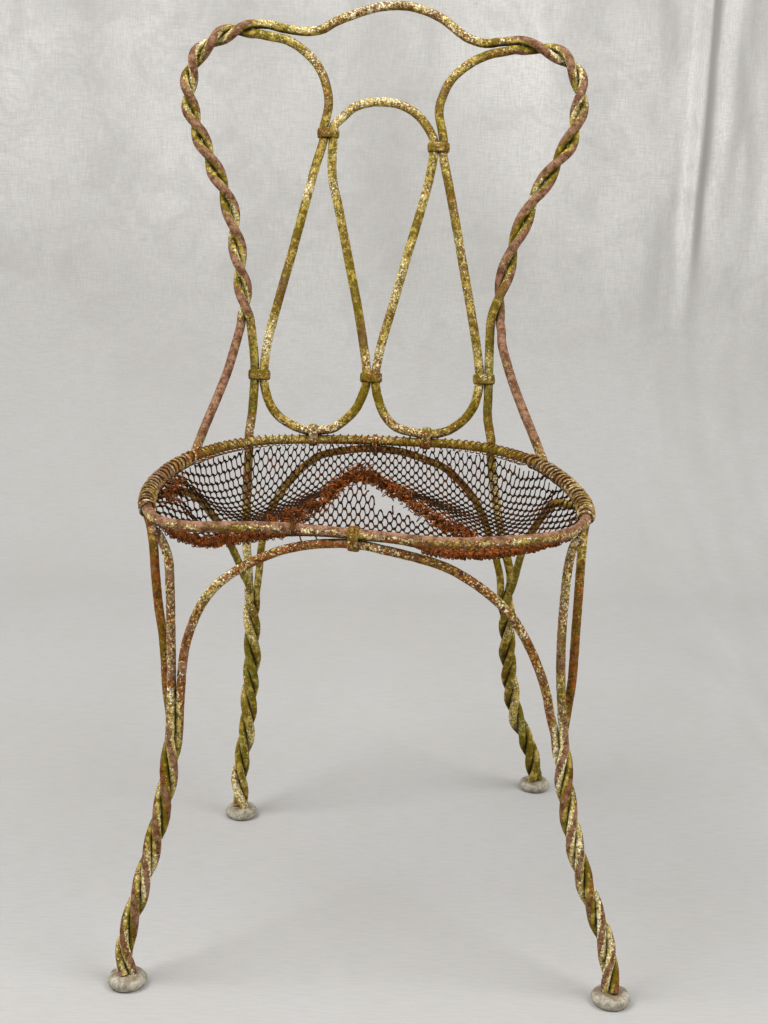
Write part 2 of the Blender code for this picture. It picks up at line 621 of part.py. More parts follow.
def band(name, middle, axis, ex, c1, r1, c2, r2, width, wall, color, ease=0.0):
    """Flat-sided ring with a rounded outside round two rods that run along the axis."""
    ey = np.cross(axis, ex)
    count = 20
    fit = 1.0 / math.cos(math.pi / (count - 2))
    inner_grow = FIT_GAP + ease + (fit - 1.0) * max(r1, r2)
    profile = (
        (-0.5, inner_grow), (0.5, inner_grow), (0.5, inner_grow + wall * 0.55),
        (0.0, inner_grow + wall), (-0.5, inner_grow + wall * 0.55),
    )
    verts = []
    for part, grow in profile:
        for p in hull_outline(np.array(c1), r1, np.array(c2), r2, grow, count):
            verts.append(middle + ex * p[0] + ey * p[1] + axis * width * part)
    faces = []
    rings = len(profile)
    for i in range(rings):
        j = (i + 1) % rings
        for k in range(count):
            m = (k + 1) % count
            faces.append((i * count + k, i * count + m, j * count + m, j * count + k))
    return new_object(name, verts, faces, color, 0.7, 0.2)


def back_collar(name, key):
    """Collar round two back rods that stand side by side."""
    c = at_back(*COLLAR_POINTS[key])
    off = BACK_R + FIT_GAP / 2
    return band(name, c, BACK_UP, np.array((1.0, 0, 0)), (-off, 0), BACK_R, (off, 0), BACK_R,
                COLLAR_H, COLLAR_WALL, PAINT_GREEN)


def rim_band(name, s, other_dz, other_r, width, wall):
    """Band round the rim and a rod straight above or below it."""
    p, t, _ = rim_point(s)
    ex = np.array((0.0, 0, 1.0))
    return band(name, p, t, ex, (0, 0), RIM_R, (other_dz, 0), other_r, width, wall, PAINT_BROWN, 0.0002)


def foot(name, key):
    """Turned foot: a flattened ball with a flat underside and a flat top."""
    x, y, _ = LEG_LINES[key][0]
    c = at_leg(x, y, 0.0)
    flat = FOOT_FLAT_D / 2
    rad = FOOT_D / 2
    rings = (
        (rad * 0.78, 0.0), (rad * 0.92, 0.12), (rad * 0.99, 0.3), (rad, 0.48), (rad * 0.94, 0.7),
        (rad * 0.8, 0.88), (flat, 1.0),
    )
    count = 16
    verts = []
    for r, h in rings:
        for k in range(count):
            a = 2 * math.pi * k / count
            verts.append((c[0] + r * math.cos(a), c[1] + r * math.sin(a), TABLE_ZERO + h * FOOT_H))
    faces = []
    for i in range(len(rings) - 1):
        for k in range(count):
            m = (k + 1) % count
            faces.append((i * count + k, i * count + m, (i + 1) * count + m, (i + 1) * count + k))
    faces.append(tuple(range(count)))
    faces.append(tuple((len(rings) - 1) * count + k for k in range(count)))
    return new_object(name, verts, faces, ZINC, 0.6, 0.5)


def spread(points):
    """Weights of the smooth sheet that passes through the table of net heights."""
    gap = np.hypot(points[:, None, 0] - points[None, :, 0], points[:, None, 1] - points[None, :, 1])
    pull = gap * gap * np.log(np.where(gap > 0, gap, 1.0)) + np.eye(len(points)) * 0.002
    flat = np.c_[np.ones(len(points)), points[:, :2]]
    square = np.block([[pull, flat], [flat.T, np.zeros((3, 3))]])
    return np.linalg.solve(square, np.r_[points[:, 2], 0.0, 0.0, 0.0])


def net_height(x, y):
    """Height of the net against the rim at a place in metres."""
    px, py = x / SX * 10.0, y / SY * 10.0
    gap = np.hypot(NET_POINTS[:, 0] - px, NET_POINTS[:, 1] - py)
    pull = gap * gap * np.log(np.where(gap > 0, gap, 1.0))
    sheet = pull @ NET_WEIGHTS[:-3] + NET_WEIGHTS[-3] + NET_WEIGHTS[-2] * px + NET_WEIGHTS[-1] * py
    return float(sheet) * 0.1 * NET_SAG / 0.047


def net_position(u, v, edge):
    """Point of the sagging net for u and v in -1..1; edge is its place beside the rim."""
    a = u * math.sqrt(1 - v * v / 2)
    b = v * math.sqrt(1 - u * u / 2)
    rho = math.hypot(a, b)
    theta = math.atan2(b, a)
    q = np.interp(theta % (2 * math.pi), NET_EDGE_T, NET_EDGE_R)
    r = (q - edge[0]) * rho
    x, y = r * math.cos(theta), NET_MID_Y + r * math.sin(theta)
    near = min(max((rho - 0.93) / 0.07, 0.0), 1.0)
    z = net_height(x, y) * (1 - near) - edge[1] * near
    return np.array((x, y, RIM_Z + z))


def torn(point):
    """True where a place lies inside the outline of the tear."""
    inside = False
    x, y = point[0] / SX * 1000.0, point[1] / SY * 1000.0
    for (x0, y0), (x1, y1) in zip(NET_TEAR, NET_TEAR[1:] + NET_TEAR[:1]):
        if (y0 > y) != (y1 > y) and x < x0 + (y - y0) * (x1 - x0) / (y1 - y0):
            inside = not inside
    return inside


def seat_net():
    """Sagging sheet of diamond gaps with its edge beside the rim and a torn place, one closed body."""
    around = RIM_R + 4 * FIT_GAP + max(BINDING_WIRE_D, TIE_WALL + 0.0003, CLAMP_WALL + 0.0003) + NET_THICK / 4
    edge = (around * math.cos(math.pi / 6), around * math.sin(math.pi / 6))
    cols, rows = NET_COLS, NET_ROWS
    verts, faces, index = [], [], {}
    place = {}
    along = [-1.0, *np.linspace(-NET_EDGE_CELL, NET_EDGE_CELL, cols - 1), 1.0]
    across = [-1.0, *np.linspace(-NET_EDGE_CELL, NET_EDGE_CELL, rows - 1), 1.0]
    for i in range(cols + 1):
        for j in range(rows + 1):
            place[i, j] = net_position(along[i], across[j], edge)

    def corner(i, j, side):
        key = (i, j, side)
        if key not in index:
            index[key] = len(verts)
            verts.append(place[i, j] + (0, 0, side * NET_THICK / 2))
        return index[key]

    kept = {}
    for i in range(cols):
        for j in range(rows):
            ring = ((i, j), (i + 1, j), (i + 1, j + 1), (i, j + 1))
            if not torn(sum(place[q] for q in ring) / 4):
                kept[i, j] = ring
    print("seat_net gaps", len(kept))
    for (i, j), ring in kept.items():
        here = [place[q] for q in ring]
        mid = sum(here) / 4
        hole = []
        for k in range(4):
            edge_mid = (here[k] + here[(k + 1) % 4]) / 2
            reach = np.linalg.norm(edge_mid - mid)
            hole.append(mid + (edge_mid - mid) * max(0.25, 1 - NET_WIRE_W / 2 / reach))
        inner = {}
        for side in (1, -1):
            inner[side] = []
            for h in hole:
                inner[side].append(len(verts))
                verts.append(h + (0, 0, side * NET_THICK / 2))
        for side in (1, -1):
            c = [corner(a, b, side) for a, b in ring]
            h = inner[side]
            for k in range(4):
                n = (k + 1) % 4
                faces.append((c[k], c[n], h[k]))
                faces.append((c[n], h[n], h[k]))
        for k in range(4):
            n = (k + 1) % 4
            faces.append((inner[1][k], inner[1][n], inner[-1][n], inner[-1][k]))
        for k, step in enumerate(((0, -1), (1, 0), (0, 1), (-1, 0))):
            if (i + step[0], j + step[1]) not in kept:
                a, b = ring[k], ring[(k + 1) % 4]
                faces.append((corner(*a, 1), corner(*b, 1), corner(*b, -1), corner(*a, -1)))
    return new_object("seat_net", verts, faces, RUST_DARK, 0.85, 0.3)


def binding(name, s_mid):
    """Wire wound round the rim and the side arch, one unbroken tube of open loops."""
    wire = BINDING_WIRE_D / 2
    drop = RIM_R + APRON_R + FIT_GAP
    outline = hull_outline(np.array((0.0, 0.0)), RIM_R, np.array((0.0, -drop)), APRON_R,
                           FIT_GAP + wire + 0.0003, BINDING_STEPS)
    line = []
    total = BINDING_LOOPS * BINDING_STEPS
    for i in range(total + 1):
        s = s_mid + BINDING_PITCH * (i / BINDING_STEPS - BINDING_LOOPS / 2)
        p, _, out = rim_point(s)
        q = outline[i % BINDING_STEPS]
        line.append(p + out * q[0] + np.array((0, 0, q[1])))
    line = np.array(line)
    least = min(
        float(np.linalg.norm(line[i] - line[j]))
        for i in range(len(line)) for j in range(i + BINDING_STEPS // 2, len(line))
    )
    print(name, "least gap between loops mm", round((least - BINDING_WIRE_D) * 1000, 3))
    return rod(name, line, wire, RUST_DARK, sides=4)


PAINT_BROWN = (0.32, 0.21, 0.14)
PAINT_GREEN = (0.30, 0.31, 0.17)
PAINT_YELLOW = (0.45, 0.36, 0.18)
RUST_DARK = (0.20, 0.09, 0.05)
ZINC = (0.36, 0.34, 0.29)

NET_MID_Y = 0.012 * SY
EDGE_POLAR = np.array([
    (math.atan2(p[1] - NET_MID_Y, p[0]) % (2 * math.pi), math.hypot(p[0], p[1] - NET_MID_Y)) for p in RIM_DENSE
])
EDGE_POLAR = EDGE_POLAR[np.argsort(EDGE_POLAR[:, 0])]
FULL = 2 * math.pi
NET_EDGE_T = np.concatenate((EDGE_POLAR[-1:, 0] - FULL, EDGE_POLAR[:, 0], EDGE_POLAR[:1, 0] + FULL))
NET_EDGE_R = np.concatenate((EDGE_POLAR[-1:, 1], EDGE_POLAR[:, 1], EDGE_POLAR[:1, 1]))
NET_POINTS = np.array(
    [(x, y, z) for x, column in NET_HEIGHTS.items() for y, z in column]
    + [(x, y, NET_RIM_HEIGHT) for x, y in RIM_PLAN], float) / 100.0
NET_WEIGHTS = spread(NET_POINTS)


def brace(table, x_sign, y_mm):
    """Bends of a brace, with a straight end that runs past the outside of the rim."""
    bends = legs_back(table)
    p, _, out = rim_point(rim_arc_near(x_sign * 182.0, y_mm))
    foot = p + out * (RIM_R + BACK_R + FIT_GAP) * BRACE_CLEAR
    run = (foot - bends[-1]) / np.linalg.norm(foot - bends[-1])
    return bends + [foot - run * 2 * BRACE_PAST, foot, foot + run * BRACE_PAST]


def post_tip(plan):
    """Last points of a corner post, which leans outward and ends tucked under the rim."""
    p, _, out = rim_point(rim_arc_near(*plan))
    around = RIM_R + APRON_R + FIT_GAP
    steps = ((-0.03, -1.385), (0.28, -1.075), (0.59, -0.765))
    return [p + out * around * a + np.array((0, 0, around * b)) for a, b in steps]


def upright_cross(x_mm):
    """Straight run of an upright down the rear of the rim, top to bottom."""
    s = rim_arc_at_x(x_mm * 0.001 * BX, True)
    p, _, out = rim_point(s)
    q = p + out * (RIM_R + BACK_R + FIT_GAP) * 1.01
    return np.array([q + np.array((0, 0, z)) for z in (CROSS_RUN, 0.0, -CROSS_RUN)])


def u_bottom(x_mm):
    """Straight run of a U bend on top of the rear rim, left to right."""
    s = rim_arc_at_x(x_mm * 0.001 * BX, True)
    p, t, _ = rim_point(s)
    if t[0] < 0:
        t = -t
    up = np.array((0, 0, RIM_R + BACK_R + FIT_GAP))
    return np.array([p + up + t * k for k in (-TIED_RUN, 0.0, TIED_RUN)])


def build_back():
    """Crest rod, scroll rods and the middle ribbon."""
    crest_l, scroll_l = stile(STILE_LEFT, CROSS_LEFT, STILE_TURNS_LEFT, 1.0)
    crest_r, scroll_r = stile(STILE_RIGHT, CROSS_RIGHT, STILE_TURNS_RIGHT, -1.0)
    crest = chain(
        list(reversed(brace(BRACE_LEFT, -1, BRACE_END_LEFT_Y))), crest_l[::-1], backs(CREST_WAVE), crest_r,
        brace(BRACE_RIGHT, 1, BRACE_END_RIGHT_Y),
    )
    rod("crest_rod", crest, BACK_R, PAINT_BROWN)
    end = BACK_UP * FIT_GAP / 2
    left_leg = LEGS["RL"][0]
    loop_end = lane("UL", -1, -1)
    loop_end[1] = loop_end[1] + end
    left = chain(
        left_leg, legs(reversed(UPRIGHT_LEFT_LOW), "RL"), upright_cross(UPRIGHT_X[0])[::-1], backs(UPRIGHT_LEFT),
        lane("LL", -1), backs(UPRIGHT_LEFT_HIGH), scroll_l[::-1], backs(LOOP_LEFT), loop_end[:2],
    )
    rod("scroll_left", left, BACK_R, PAINT_GREEN, flat_ends=(LEG_END_Z, None))
    right_leg = LEGS["RR"][0]
    loop_end = lane("UR", 1, -1)
    loop_end[1] = loop_end[1] + end
    right = chain(
        right_leg, legs(reversed(UPRIGHT_RIGHT_LOW), "RR"), upright_cross(UPRIGHT_X[1])[::-1], backs(UPRIGHT_RIGHT),
        lane("LR", 1), backs(UPRIGHT_RIGHT_HIGH), scroll_r[::-1], backs(LOOP_RIGHT), loop_end[:2],
    )
    rod("scroll_right", right, BACK_R, PAINT_GREEN, flat_ends=(LEG_END_Z, None))
    start = lane("UL", -1, -1)
    start[1] = start[1] - end
    finish = lane("UR", 1, 1)
    finish[1] = finish[1] - end
    middle = chain(
        start[1:], backs(DROP_LEFT_OUT), lane("LL", 1, -1), backs(U_LEFT), u_bottom(U_TIE_X[0]),
        backs(U_LEFT_END), lane("LC", -1), backs(DROP_LEFT_IN), lane("UL", 1), backs(MIDDLE_ARCH),
        lane("UR", -1, -1), backs(DROP_RIGHT_IN), lane("LC", 1, -1), backs(U_RIGHT), u_bottom(U_TIE_X[1]),
        backs(U_RIGHT_END), lane("LR", -1), backs(DROP_RIGHT_OUT), finish[:2],
    )
    rod("scroll_centre", middle, BACK_R, PAINT_YELLOW)
    for name, key in (("collar_upper_left", "UL"), ("collar_upper_right", "UR"), ("collar_lower_left", "LL"),
                      ("collar_lower_centre", "LC"), ("collar_lower_right", "LR")):
        back_collar(name, key)


def legs_back(points):
    """Points between the back and the rim, stretched with both."""
    out = []
    for x, y, z in points:
        f = max(0.0, min(1.0, (z - 436.0) / 120.0))
        a = at_leg(x, y, 436.0)
        b = np.array((x * 0.001 * BX, 0.0, 0.0))
        px = a[0] * (1 - f) + b[0] * f
        shift = BACK_FOOT_Y - BACK_FOOT_MM * 0.001 * SY
        py = a[1] * (1 - f) + (y * 0.001 + shift) * f
        out.append(np.array((px, py, RIM_Z + (z - 436.0) * 0.001 * BZ)))
    return out


def build_apron():
    """Rim, the four apron arches, the two posts, their bands and bindings."""
    rod("seat_rim", thin_closed(RIM_DENSE, 76), RIM_R, PAINT_BROWN, closed=True)
    s_front = rim_arc_near(FRONT_CLAMP_X, -166.0)
    front_top = under_rim(s_front)
    if front_top[0][0] > front_top[-1][0]:
        front_top = front_top[::-1]
    halves = legs(FRONT_ARCH_LEFT, "FL"), legs(FRONT_ARCH_RIGHT, "FR")
    front = chain(LEGS["FL"][1], halves[0], front_top, halves[1], LEGS["FR"][1][::-1])
    rod("front_arch", front, APRON_R, PAINT_YELLOW, sides=6, flat_ends=(LEG_END_Z, LEG_END_Z))
    s_rear = rim_arc_near(REAR_TIE_X, 205.0)
    rear_top = under_rim(s_rear)
    if rear_top[0][0] > rear_top[-1][0]:
        rear_top = rear_top[::-1]
    halves = legs(REAR_ARCH_LEFT, "RL"), legs(REAR_ARCH_RIGHT, "RR")
    rear = chain(LEGS["RL"][1], halves[0], rear_top, halves[1], LEGS["RR"][1][::-1])
    rod("rear_arch", rear, APRON_R, PAINT_GREEN, sides=6, flat_ends=(LEG_END_Z, LEG_END_Z))
    s_left = rim_arc_near(-203.0, LEFT_BINDING_Y * 1000)
    top = under_rim(s_left, BOUND_RUN)
    if top[0][1] > top[-1][1]:
        top = top[::-1]
    halves = legs(LEFT_ARCH_FRONT, "FL"), legs(LEFT_ARCH_REAR, "RL")
    left = chain(LEGS["FL"][2], halves[0], top, halves[1], LEGS["RL"][2][::-1])
    rod("left_arch", left, APRON_R, PAINT_GREEN, sides=6, flat_ends=(LEG_END_Z, LEG_END_Z))
    s_right = rim_arc_near(200.0, RIGHT_BINDING_Y * 1000)
    top = under_rim(s_right, BOUND_RUN)
    if top[0][1] > top[-1][1]:
        top = top[::-1]
    halves = legs(RIGHT_ARCH_FRONT, "FR"), legs(RIGHT_ARCH_REAR, "RR")
    right = chain(LEGS["FR"][2], halves[0], top, halves[1], LEGS["RR"][2][::-1])
    rod("right_arch", right, APRON_R, PAINT_YELLOW, sides=6, flat_ends=(LEG_END_Z, LEG_END_Z))
    post = chain(LEGS["FL"][0], legs(POST_LEFT, "FL") + post_tip(POST_TIP_LEFT))
    rod("front_left_post", post, APRON_R, PAINT_YELLOW, sides=6, flat_ends=(LEG_END_Z, None))
    post = chain(LEGS["FR"][0], legs(POST_RIGHT, "FR") + post_tip(POST_TIP_RIGHT))
    rod("front_right_post", post, APRON_R, PAINT_BROWN, sides=6, flat_ends=(LEG_END_Z, None))
    drop = RIM_R + APRON_R + FIT_GAP
    lift = RIM_R + BACK_R + FIT_GAP
    rim_band("front_clamp", s_front, -drop, APRON_R, CLAMP_W, CLAMP_WALL)
    rim_band("rear_arch_tie", s_rear, -drop, APRON_R, REAR_TIE_W, TIE_WALL)
    rim_band("left_u_tie", rim_arc_at_x(U_TIE_X[0] * 0.001 * BX, True), lift, BACK_R, TIE_W, TIE_WALL)
    rim_band("right_u_tie", rim_arc_at_x(U_TIE_X[1] * 0.001 * BX, True), lift, BACK_R, TIE_W, TIE_WALL)
    binding("left_binding", s_left)
    binding("right_binding", s_right)


def thin_closed(dense, count):
    """Evenly spaced points round a closed line."""
    return np.array([rim_point(RIM_LEN * k / count)[0] for k in range(count)])


for old in list(bpy.data.objects):
    bpy.data.objects.remove(old, do_unlink=True)

LEG_END_Z = TABLE_ZERO + FOOT_H + FIT_GAP
REAR_RADII = (BACK_R, APRON_R, APRON_R)
FRONT_RADII = (APRON_R, APRON_R, APRON_R)
LEGS = {
    "FL": leg_strands("FL", FRONT_RADII), "FR": leg_strands("FR", FRONT_RADII),
    "RL": leg_strands("RL", REAR_RADII), "RR": leg_strands("RR", REAR_RADII),
}
build_back()
build_apron()
seat_net()
for foot_name, foot_key in (("foot_front_left", "FL"), ("foot_front_right", "FR"),
                            ("foot_rear_left", "RL"), ("foot_rear_right", "RR")):
    foot(foot_name, foot_key)

corners = [v.co for o in bpy.data.objects for v in o.data.vertices]
MIDDLE_X = (min(c.x for c in corners) + max(c.x for c in corners)) / 2
MIDDLE_Y = (min(c.y for c in corners) + max(c.y for c in corners)) / 2
print("design origin in the row frame, metres", round(-MIDDLE_X, 6), round(-MIDDLE_Y, 6))
for obj in bpy.data.objects:
    for vertex in obj.data.vertices:
        vertex.co.x -= MIDDLE_X
        vertex.co.y -= MIDDLE_Y
        vertex.co.z -= TABLE_ZERO
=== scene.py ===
"""Wrought iron garden chair: bent and twisted rods, cast feet, a torn wire net seat and worn paint.

Every piece stands where its solid stands, on the one rigid body of the chair. Lengths are metres.
Tables of bends are millimetres, counted from the middle of the seat; x to the sitter's left,
which is the right of the picture.
"""

import logging
import math
from collections.abc import Iterable
from dataclasses import dataclass, field
from enum import Enum

import bmesh
import bpy
import numpy as np
from mathutils import Matrix, Vector, kdtree, noise


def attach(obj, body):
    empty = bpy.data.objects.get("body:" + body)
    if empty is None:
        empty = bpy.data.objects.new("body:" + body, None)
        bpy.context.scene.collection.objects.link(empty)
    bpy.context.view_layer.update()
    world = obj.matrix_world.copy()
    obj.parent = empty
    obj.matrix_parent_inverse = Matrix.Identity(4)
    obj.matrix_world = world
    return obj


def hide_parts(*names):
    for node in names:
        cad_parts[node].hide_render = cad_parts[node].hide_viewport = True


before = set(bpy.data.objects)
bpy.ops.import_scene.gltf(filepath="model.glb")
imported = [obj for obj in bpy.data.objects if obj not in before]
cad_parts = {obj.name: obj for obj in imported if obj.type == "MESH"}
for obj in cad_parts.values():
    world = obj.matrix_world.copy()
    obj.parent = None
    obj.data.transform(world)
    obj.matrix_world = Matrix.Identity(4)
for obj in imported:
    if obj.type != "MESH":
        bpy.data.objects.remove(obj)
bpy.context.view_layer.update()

logging.basicConfig(level=logging.INFO, format="%(message)s")
log = logging.getLogger("garden_chair")

Table = tuple[tuple[float, float], ...]
Places = tuple[tuple[float, float, float], ...]
Colour = tuple[float, float, float]
Rod = tuple[np.ndarray, float, bool]

MM = 0.001

# From the middle of the seat and the zero of the tables to the middle of the chair on the floor
SHIFT = np.array((-0.01065, -0.056559, -0.0045))

# Plan of the seat rim, counted round from the rear middle
RIM_PLAN: Table = (
    (-0.1, 202), (-30.1, 202.5), (-60, 200.1), (-89.7, 196.2), (-118.1, 187), (-141.7, 168.8),
    (-160.2, 145.3), (-174.5, 119), (-185.2, 91), (-192.8, 62), (-198, 32.5), (-201.3, 2.8),
    (-202.4, -27.2), (-200.9, -57.1), (-197.2, -86.8), (-190.2, -115.9), (-176.9, -142.7),
    (-152.1, -157.2), (-122.2, -155.7), (-92.3, -153.4), (-62.5, -155.5), (-33.2, -161.9),
    (-4.2, -169.2), (24.7, -177.4), (53.6, -185.1), (83.5, -186), (112.5, -178.6), (140.8, -168.7),
    (166, -153), (182.3, -128.1), (191.2, -99.5), (195, -69.8), (195.4, -39.9), (193.5, -10),
    (189.7, 19.7), (184, 49.2), (177.3, 78.4), (168.4, 107), (155.2, 133.8), (137.7, 158.1),
    (115.9, 178.6), (89, 191.5), (59.6, 196.9), (29.7, 199.7),
)

# Bends of the back: across, and up along the leaning plane
CREST_WAVE: Table = (
    (-123.8, 425.4), (-110.8, 422.4), (-91.8, 419.7), (-80, 419.4), (-66.4, 422.1), (-53, 430.1),
    (-32.8, 438.2), (-13.9, 444.4), (6, 447.6), (25.2, 447.1), (45.6, 441.8), (61.7, 434), (79.3, 421),
    (92.1, 414.4), (105.9, 411.7), (120.9, 413.4),
)
LOOP_LEFT: Table = (
    (-121.8, 413.4), (-102.2, 409.3), (-82.2, 396.7), (-68.9, 382), (-61.4, 364.9), (-58.4, 347),
    (-60.9, 329.9),
)
LOOP_RIGHT: Table = (
    (123.9, 403.4), (111.9, 400.9), (96.9, 394.9), (81.9, 385), (69.9, 373), (62.8, 359.1), (58.4, 342),
    (62.2, 321),
)
DROP_LEFT_OUT: Table = ((-70.9, 280.8), (-78.6, 250.6), (-93.7, 190.6), (-105.9, 144.7), (-116.9, 99.6))
DROP_LEFT_IN: Table = (
    (-15.2, 101.4), (-22.4, 139.2), (-30.7, 176), (-39.2, 214.1), (-44.9, 239), (-52.5, 271.9),
)
MIDDLE_ARCH: Table = (
    (-43.9, 332), (-31, 343.2), (-15, 348.3), (0, 349.3), (16.1, 347.2), (30.6, 340.8), (43.8, 328.6),
)
DROP_RIGHT_IN: Table = (
    (50.5, 273.9), (41.3, 237), (27.7, 188.5), (20.2, 160.5), (10.7, 125.5), (3.5, 98.4),
)
DROP_RIGHT_OUT: Table = (
    (105, 101), (100, 127.7), (92.1, 165.8), (87.1, 189.9), (79.3, 227.6), (71.1, 264.8),
)
U_LEFT: Table = ((-113.3, 37.2), (-103.2, 24), (-88, 14.7))
U_LEFT_END: Table = ((-44.9, 12.9), (-33.7, 20.7), (-22.2, 32.3), (-14.2, 48.5))
U_RIGHT: Table = ((1.8, 45.3), (9.9, 27.2), (22.1, 15.6))
U_RIGHT_END: Table = ((77.7, 13.7), (93, 24.4), (103.7, 39.1))
UPRIGHT_LEFT: Table = ((-131.3, 27.4), (-130.3, 45.4))
UPRIGHT_LEFT_HIGH: Table = ((-131.4, 92.2),)
UPRIGHT_RIGHT: Table = ((118.8, 29.3), (118.9, 49.4))
UPRIGHT_RIGHT_HIGH: Table = ((118.8, 92.3),)
STILE_LEFT: Table = (
    (-137.8, 420.6), (-153.9, 419.6), (-170.2, 414.6), (-182.4, 406.7), (-196.5, 394.5), (-203.4, 381.2),
    (-206.5, 367), (-207.1, 352), (-204, 336.9), (-198.8, 321.8), (-191.7, 305.9), (-183.5, 288.8),
    (-174.6, 270.7), (-166.8, 254.7), (-160.1, 236.9), (-155.5, 216.1), (-151.2, 196.1), (-148, 173.2),
    (-144.4, 155.2), (-142.2, 137.2), (-140.4, 120.2),
)
STILE_RIGHT: Table = (
    (139.9, 410.8), (162.9, 408.1), (190.1, 398.2), (202.8, 382), (207.6, 362), (205.5, 341.1),
    (199.3, 318), (185.6, 293.2), (172.5, 272.3), (161.3, 253.1), (151, 230.1), (142, 207.2),
    (134.9, 182.1), (128.6, 157.2), (125.9, 139.2), (124.2, 126.3),
)
CROSS_LEFT = (0.046, 0.131, 0.221, 0.308, 0.398, 0.500, 0.606, 0.722, 0.840, 0.948)
CROSS_RIGHT = (0.062, 0.165, 0.262, 0.369, 0.486, 0.622, 0.770, 0.920)
BRACE_LEFT: Places = (
    (-149.4, 212.9, 536.1), (-156.2, 188.5, 508.3), (-164.9, 166.6, 483.5), (-174.5, 144, 458.2),
)
BRACE_RIGHT: Places = (
    (130.3, 218.8, 556), (130.9, 204.6, 542.2), (134.3, 194.9, 529.8), (141.7, 177.3, 507.6),
    (152.2, 156.7, 482.3), (163.3, 136.6, 457.8),
)

# Middle lines of the twisted legs, and the bends of posts, uprights and arches
LEG_LINES: dict[str, Places] = {
    "FL": (
        (-208.3, -165.2, 16.3), (-210.3, -163.3, 41), (-206.2, -162.2, 61.6), (-199.7, -161, 83.1),
        (-193, -159.6, 107.9), (-186.2, -158.2, 132.8), (-179.9, -156.9, 157.8), (-174.2, -155.5, 182.9),
        (-170.3, -154.2, 207), (-167.4, -152.9, 230), (-165.7, -151.8, 250),
    ),
    "FR": (
        (229.6, -172, 16.3), (227.5, -170, 31.9), (225.2, -168, 50.5), (219.5, -166, 70),
        (211.4, -163.8, 91.4), (204.2, -162, 109.3), (196.6, -159.6, 132.4), (189.5, -157.2, 157.5),
        (183.9, -154.7, 182.7), (179.7, -152.3, 206.9), (176.5, -149.8, 231), (174.4, -147.4, 250),
    ),
    "RL": (
        (-140.7, 182.8, 16.3), (-142.3, 184.3, 48), (-139.3, 185.5, 79), (-134.5, 186.8, 112),
        (-131.3, 188.2, 156), (-129.9, 189.8, 198), (-129.8, 191.2, 236), (-130.6, 192.2, 261.9),
    ),
    "RR": (
        (196.8, 275.6, 16.3), (192.5, 268, 39.8), (182.4, 258.3, 73.8), (168.3, 248.7, 108.7),
        (159.7, 239.3, 144.6), (154.5, 227.1, 187.8), (150.2, 215.2, 230.9), (146.7, 207.2, 261.9),
    ),
}
POST_LEFT: Places = (
    (-167, -151.5, 290), (-167.4, -148.4, 322), (-167.8, -146.3, 352), (-168.4, -144.7, 381),
    (-170.2, -142.8, 405),
)
POST_RIGHT: Places = (
    (174, -148.4, 275), (171.8, -145.3, 301), (171, -141.5, 325), (171.2, -138, 350), (172.6, -134.4, 385),
    (174.6, -131.8, 405),
)
UPRIGHT_LEFT_LOW: Places = (
    (-134.8, 190.2, 401.2), (-136.5, 192.9, 350.7), (-136.3, 195.2, 315.2), (-134.6, 196.4, 288),
)
UPRIGHT_RIGHT_LOW: Places = (
    (126.9, 193.6, 400.5), (137.1, 199.8, 345.8), (146.8, 205.5, 308.2), (152.4, 210.8, 282),
)
FRONT_ARCH_LEFT: Places = (
    (-160.2, -152.6, 265), (-158.7, -153.5, 288), (-157, -155.5, 307.5), (-153.7, -157.5, 329),
    (-147.1, -159.3, 350.6), (-137.6, -161, 370.9), (-125.1, -161.5, 387.1), (-109.1, -155.2, 398.1),
    (-88.4, -154.1, 409.3), (-68.9, -155.8, 417.6), (-43.6, -159, 423.7),
)
FRONT_ARCH_RIGHT: Places = (
    (14.2, -173.6, 424.7), (29.9, -176, 422.2), (55.7, -178.8, 416.5), (70.5, -176.8, 410.4),
    (83.9, -175.8, 402.9), (103.2, -172.3, 388.6), (122.1, -169, 370.4), (137, -164, 346.8),
    (148.9, -159.5, 321.6), (158.2, -154.5, 295.4), (163.7, -149.8, 271.6),
)
REAR_ARCH_LEFT: Places = (
    (-123.1, 196.5, 286), (-120.5, 200.5, 318), (-114.5, 202.3, 347), (-105.8, 202.6, 367.2),
    (-91.9, 202.4, 387.3), (-76.1, 201.5, 405.1), (-58.9, 200.5, 418.1), (-33.3, 201.1, 424.3),
)
REAR_ARCH_RIGHT: Places = (
    (33.5, 199.4, 423.9), (55.4, 198.4, 416.9), (74.5, 197.4, 409.3), (93.2, 198.4, 393),
    (108.6, 200.2, 373.9), (119.5, 202.5, 352), (128.5, 203.6, 327), (135.2, 203.4, 306),
    (140.4, 205.6, 284),
)
LEFT_ARCH_FRONT: Places = (
    (-172.8, -142.5, 287), (-174.6, -137.7, 311), (-176.9, -133, 331.6), (-180.8, -128, 353),
    (-184.4, -121.5, 381), (-187.3, -113, 407), (-191.2, -103, 421),
)
LEFT_ARCH_REAR: Places = (
    (-199.2, -26, 426.3), (-190.2, 6, 423.6), (-177.5, 50, 411.6), (-168.2, 74.2, 396.5),
    (-162.5, 94.7, 379.5), (-158.9, 106.4, 370), (-148.8, 139, 336), (-142.9, 158, 314),
    (-137.6, 174, 291), (-132.4, 183.5, 275),
)
RIGHT_ARCH_FRONT: Places = (
    (179.6, -139, 272), (182.9, -133.8, 297.7), (184.2, -128, 320), (185.2, -122, 343.8),
    (187.3, -111, 386), (188.9, -101, 410), (191.3, -88, 421.5),
)
RIGHT_ARCH_REAR: Places = (
    (190.9, -12, 425), (176.3, 30, 416), (171.3, 63.4, 398), (166, 84, 381), (158, 118, 350),
    (155, 150, 320), (154.2, 180, 294), (152.2, 196, 276),
)

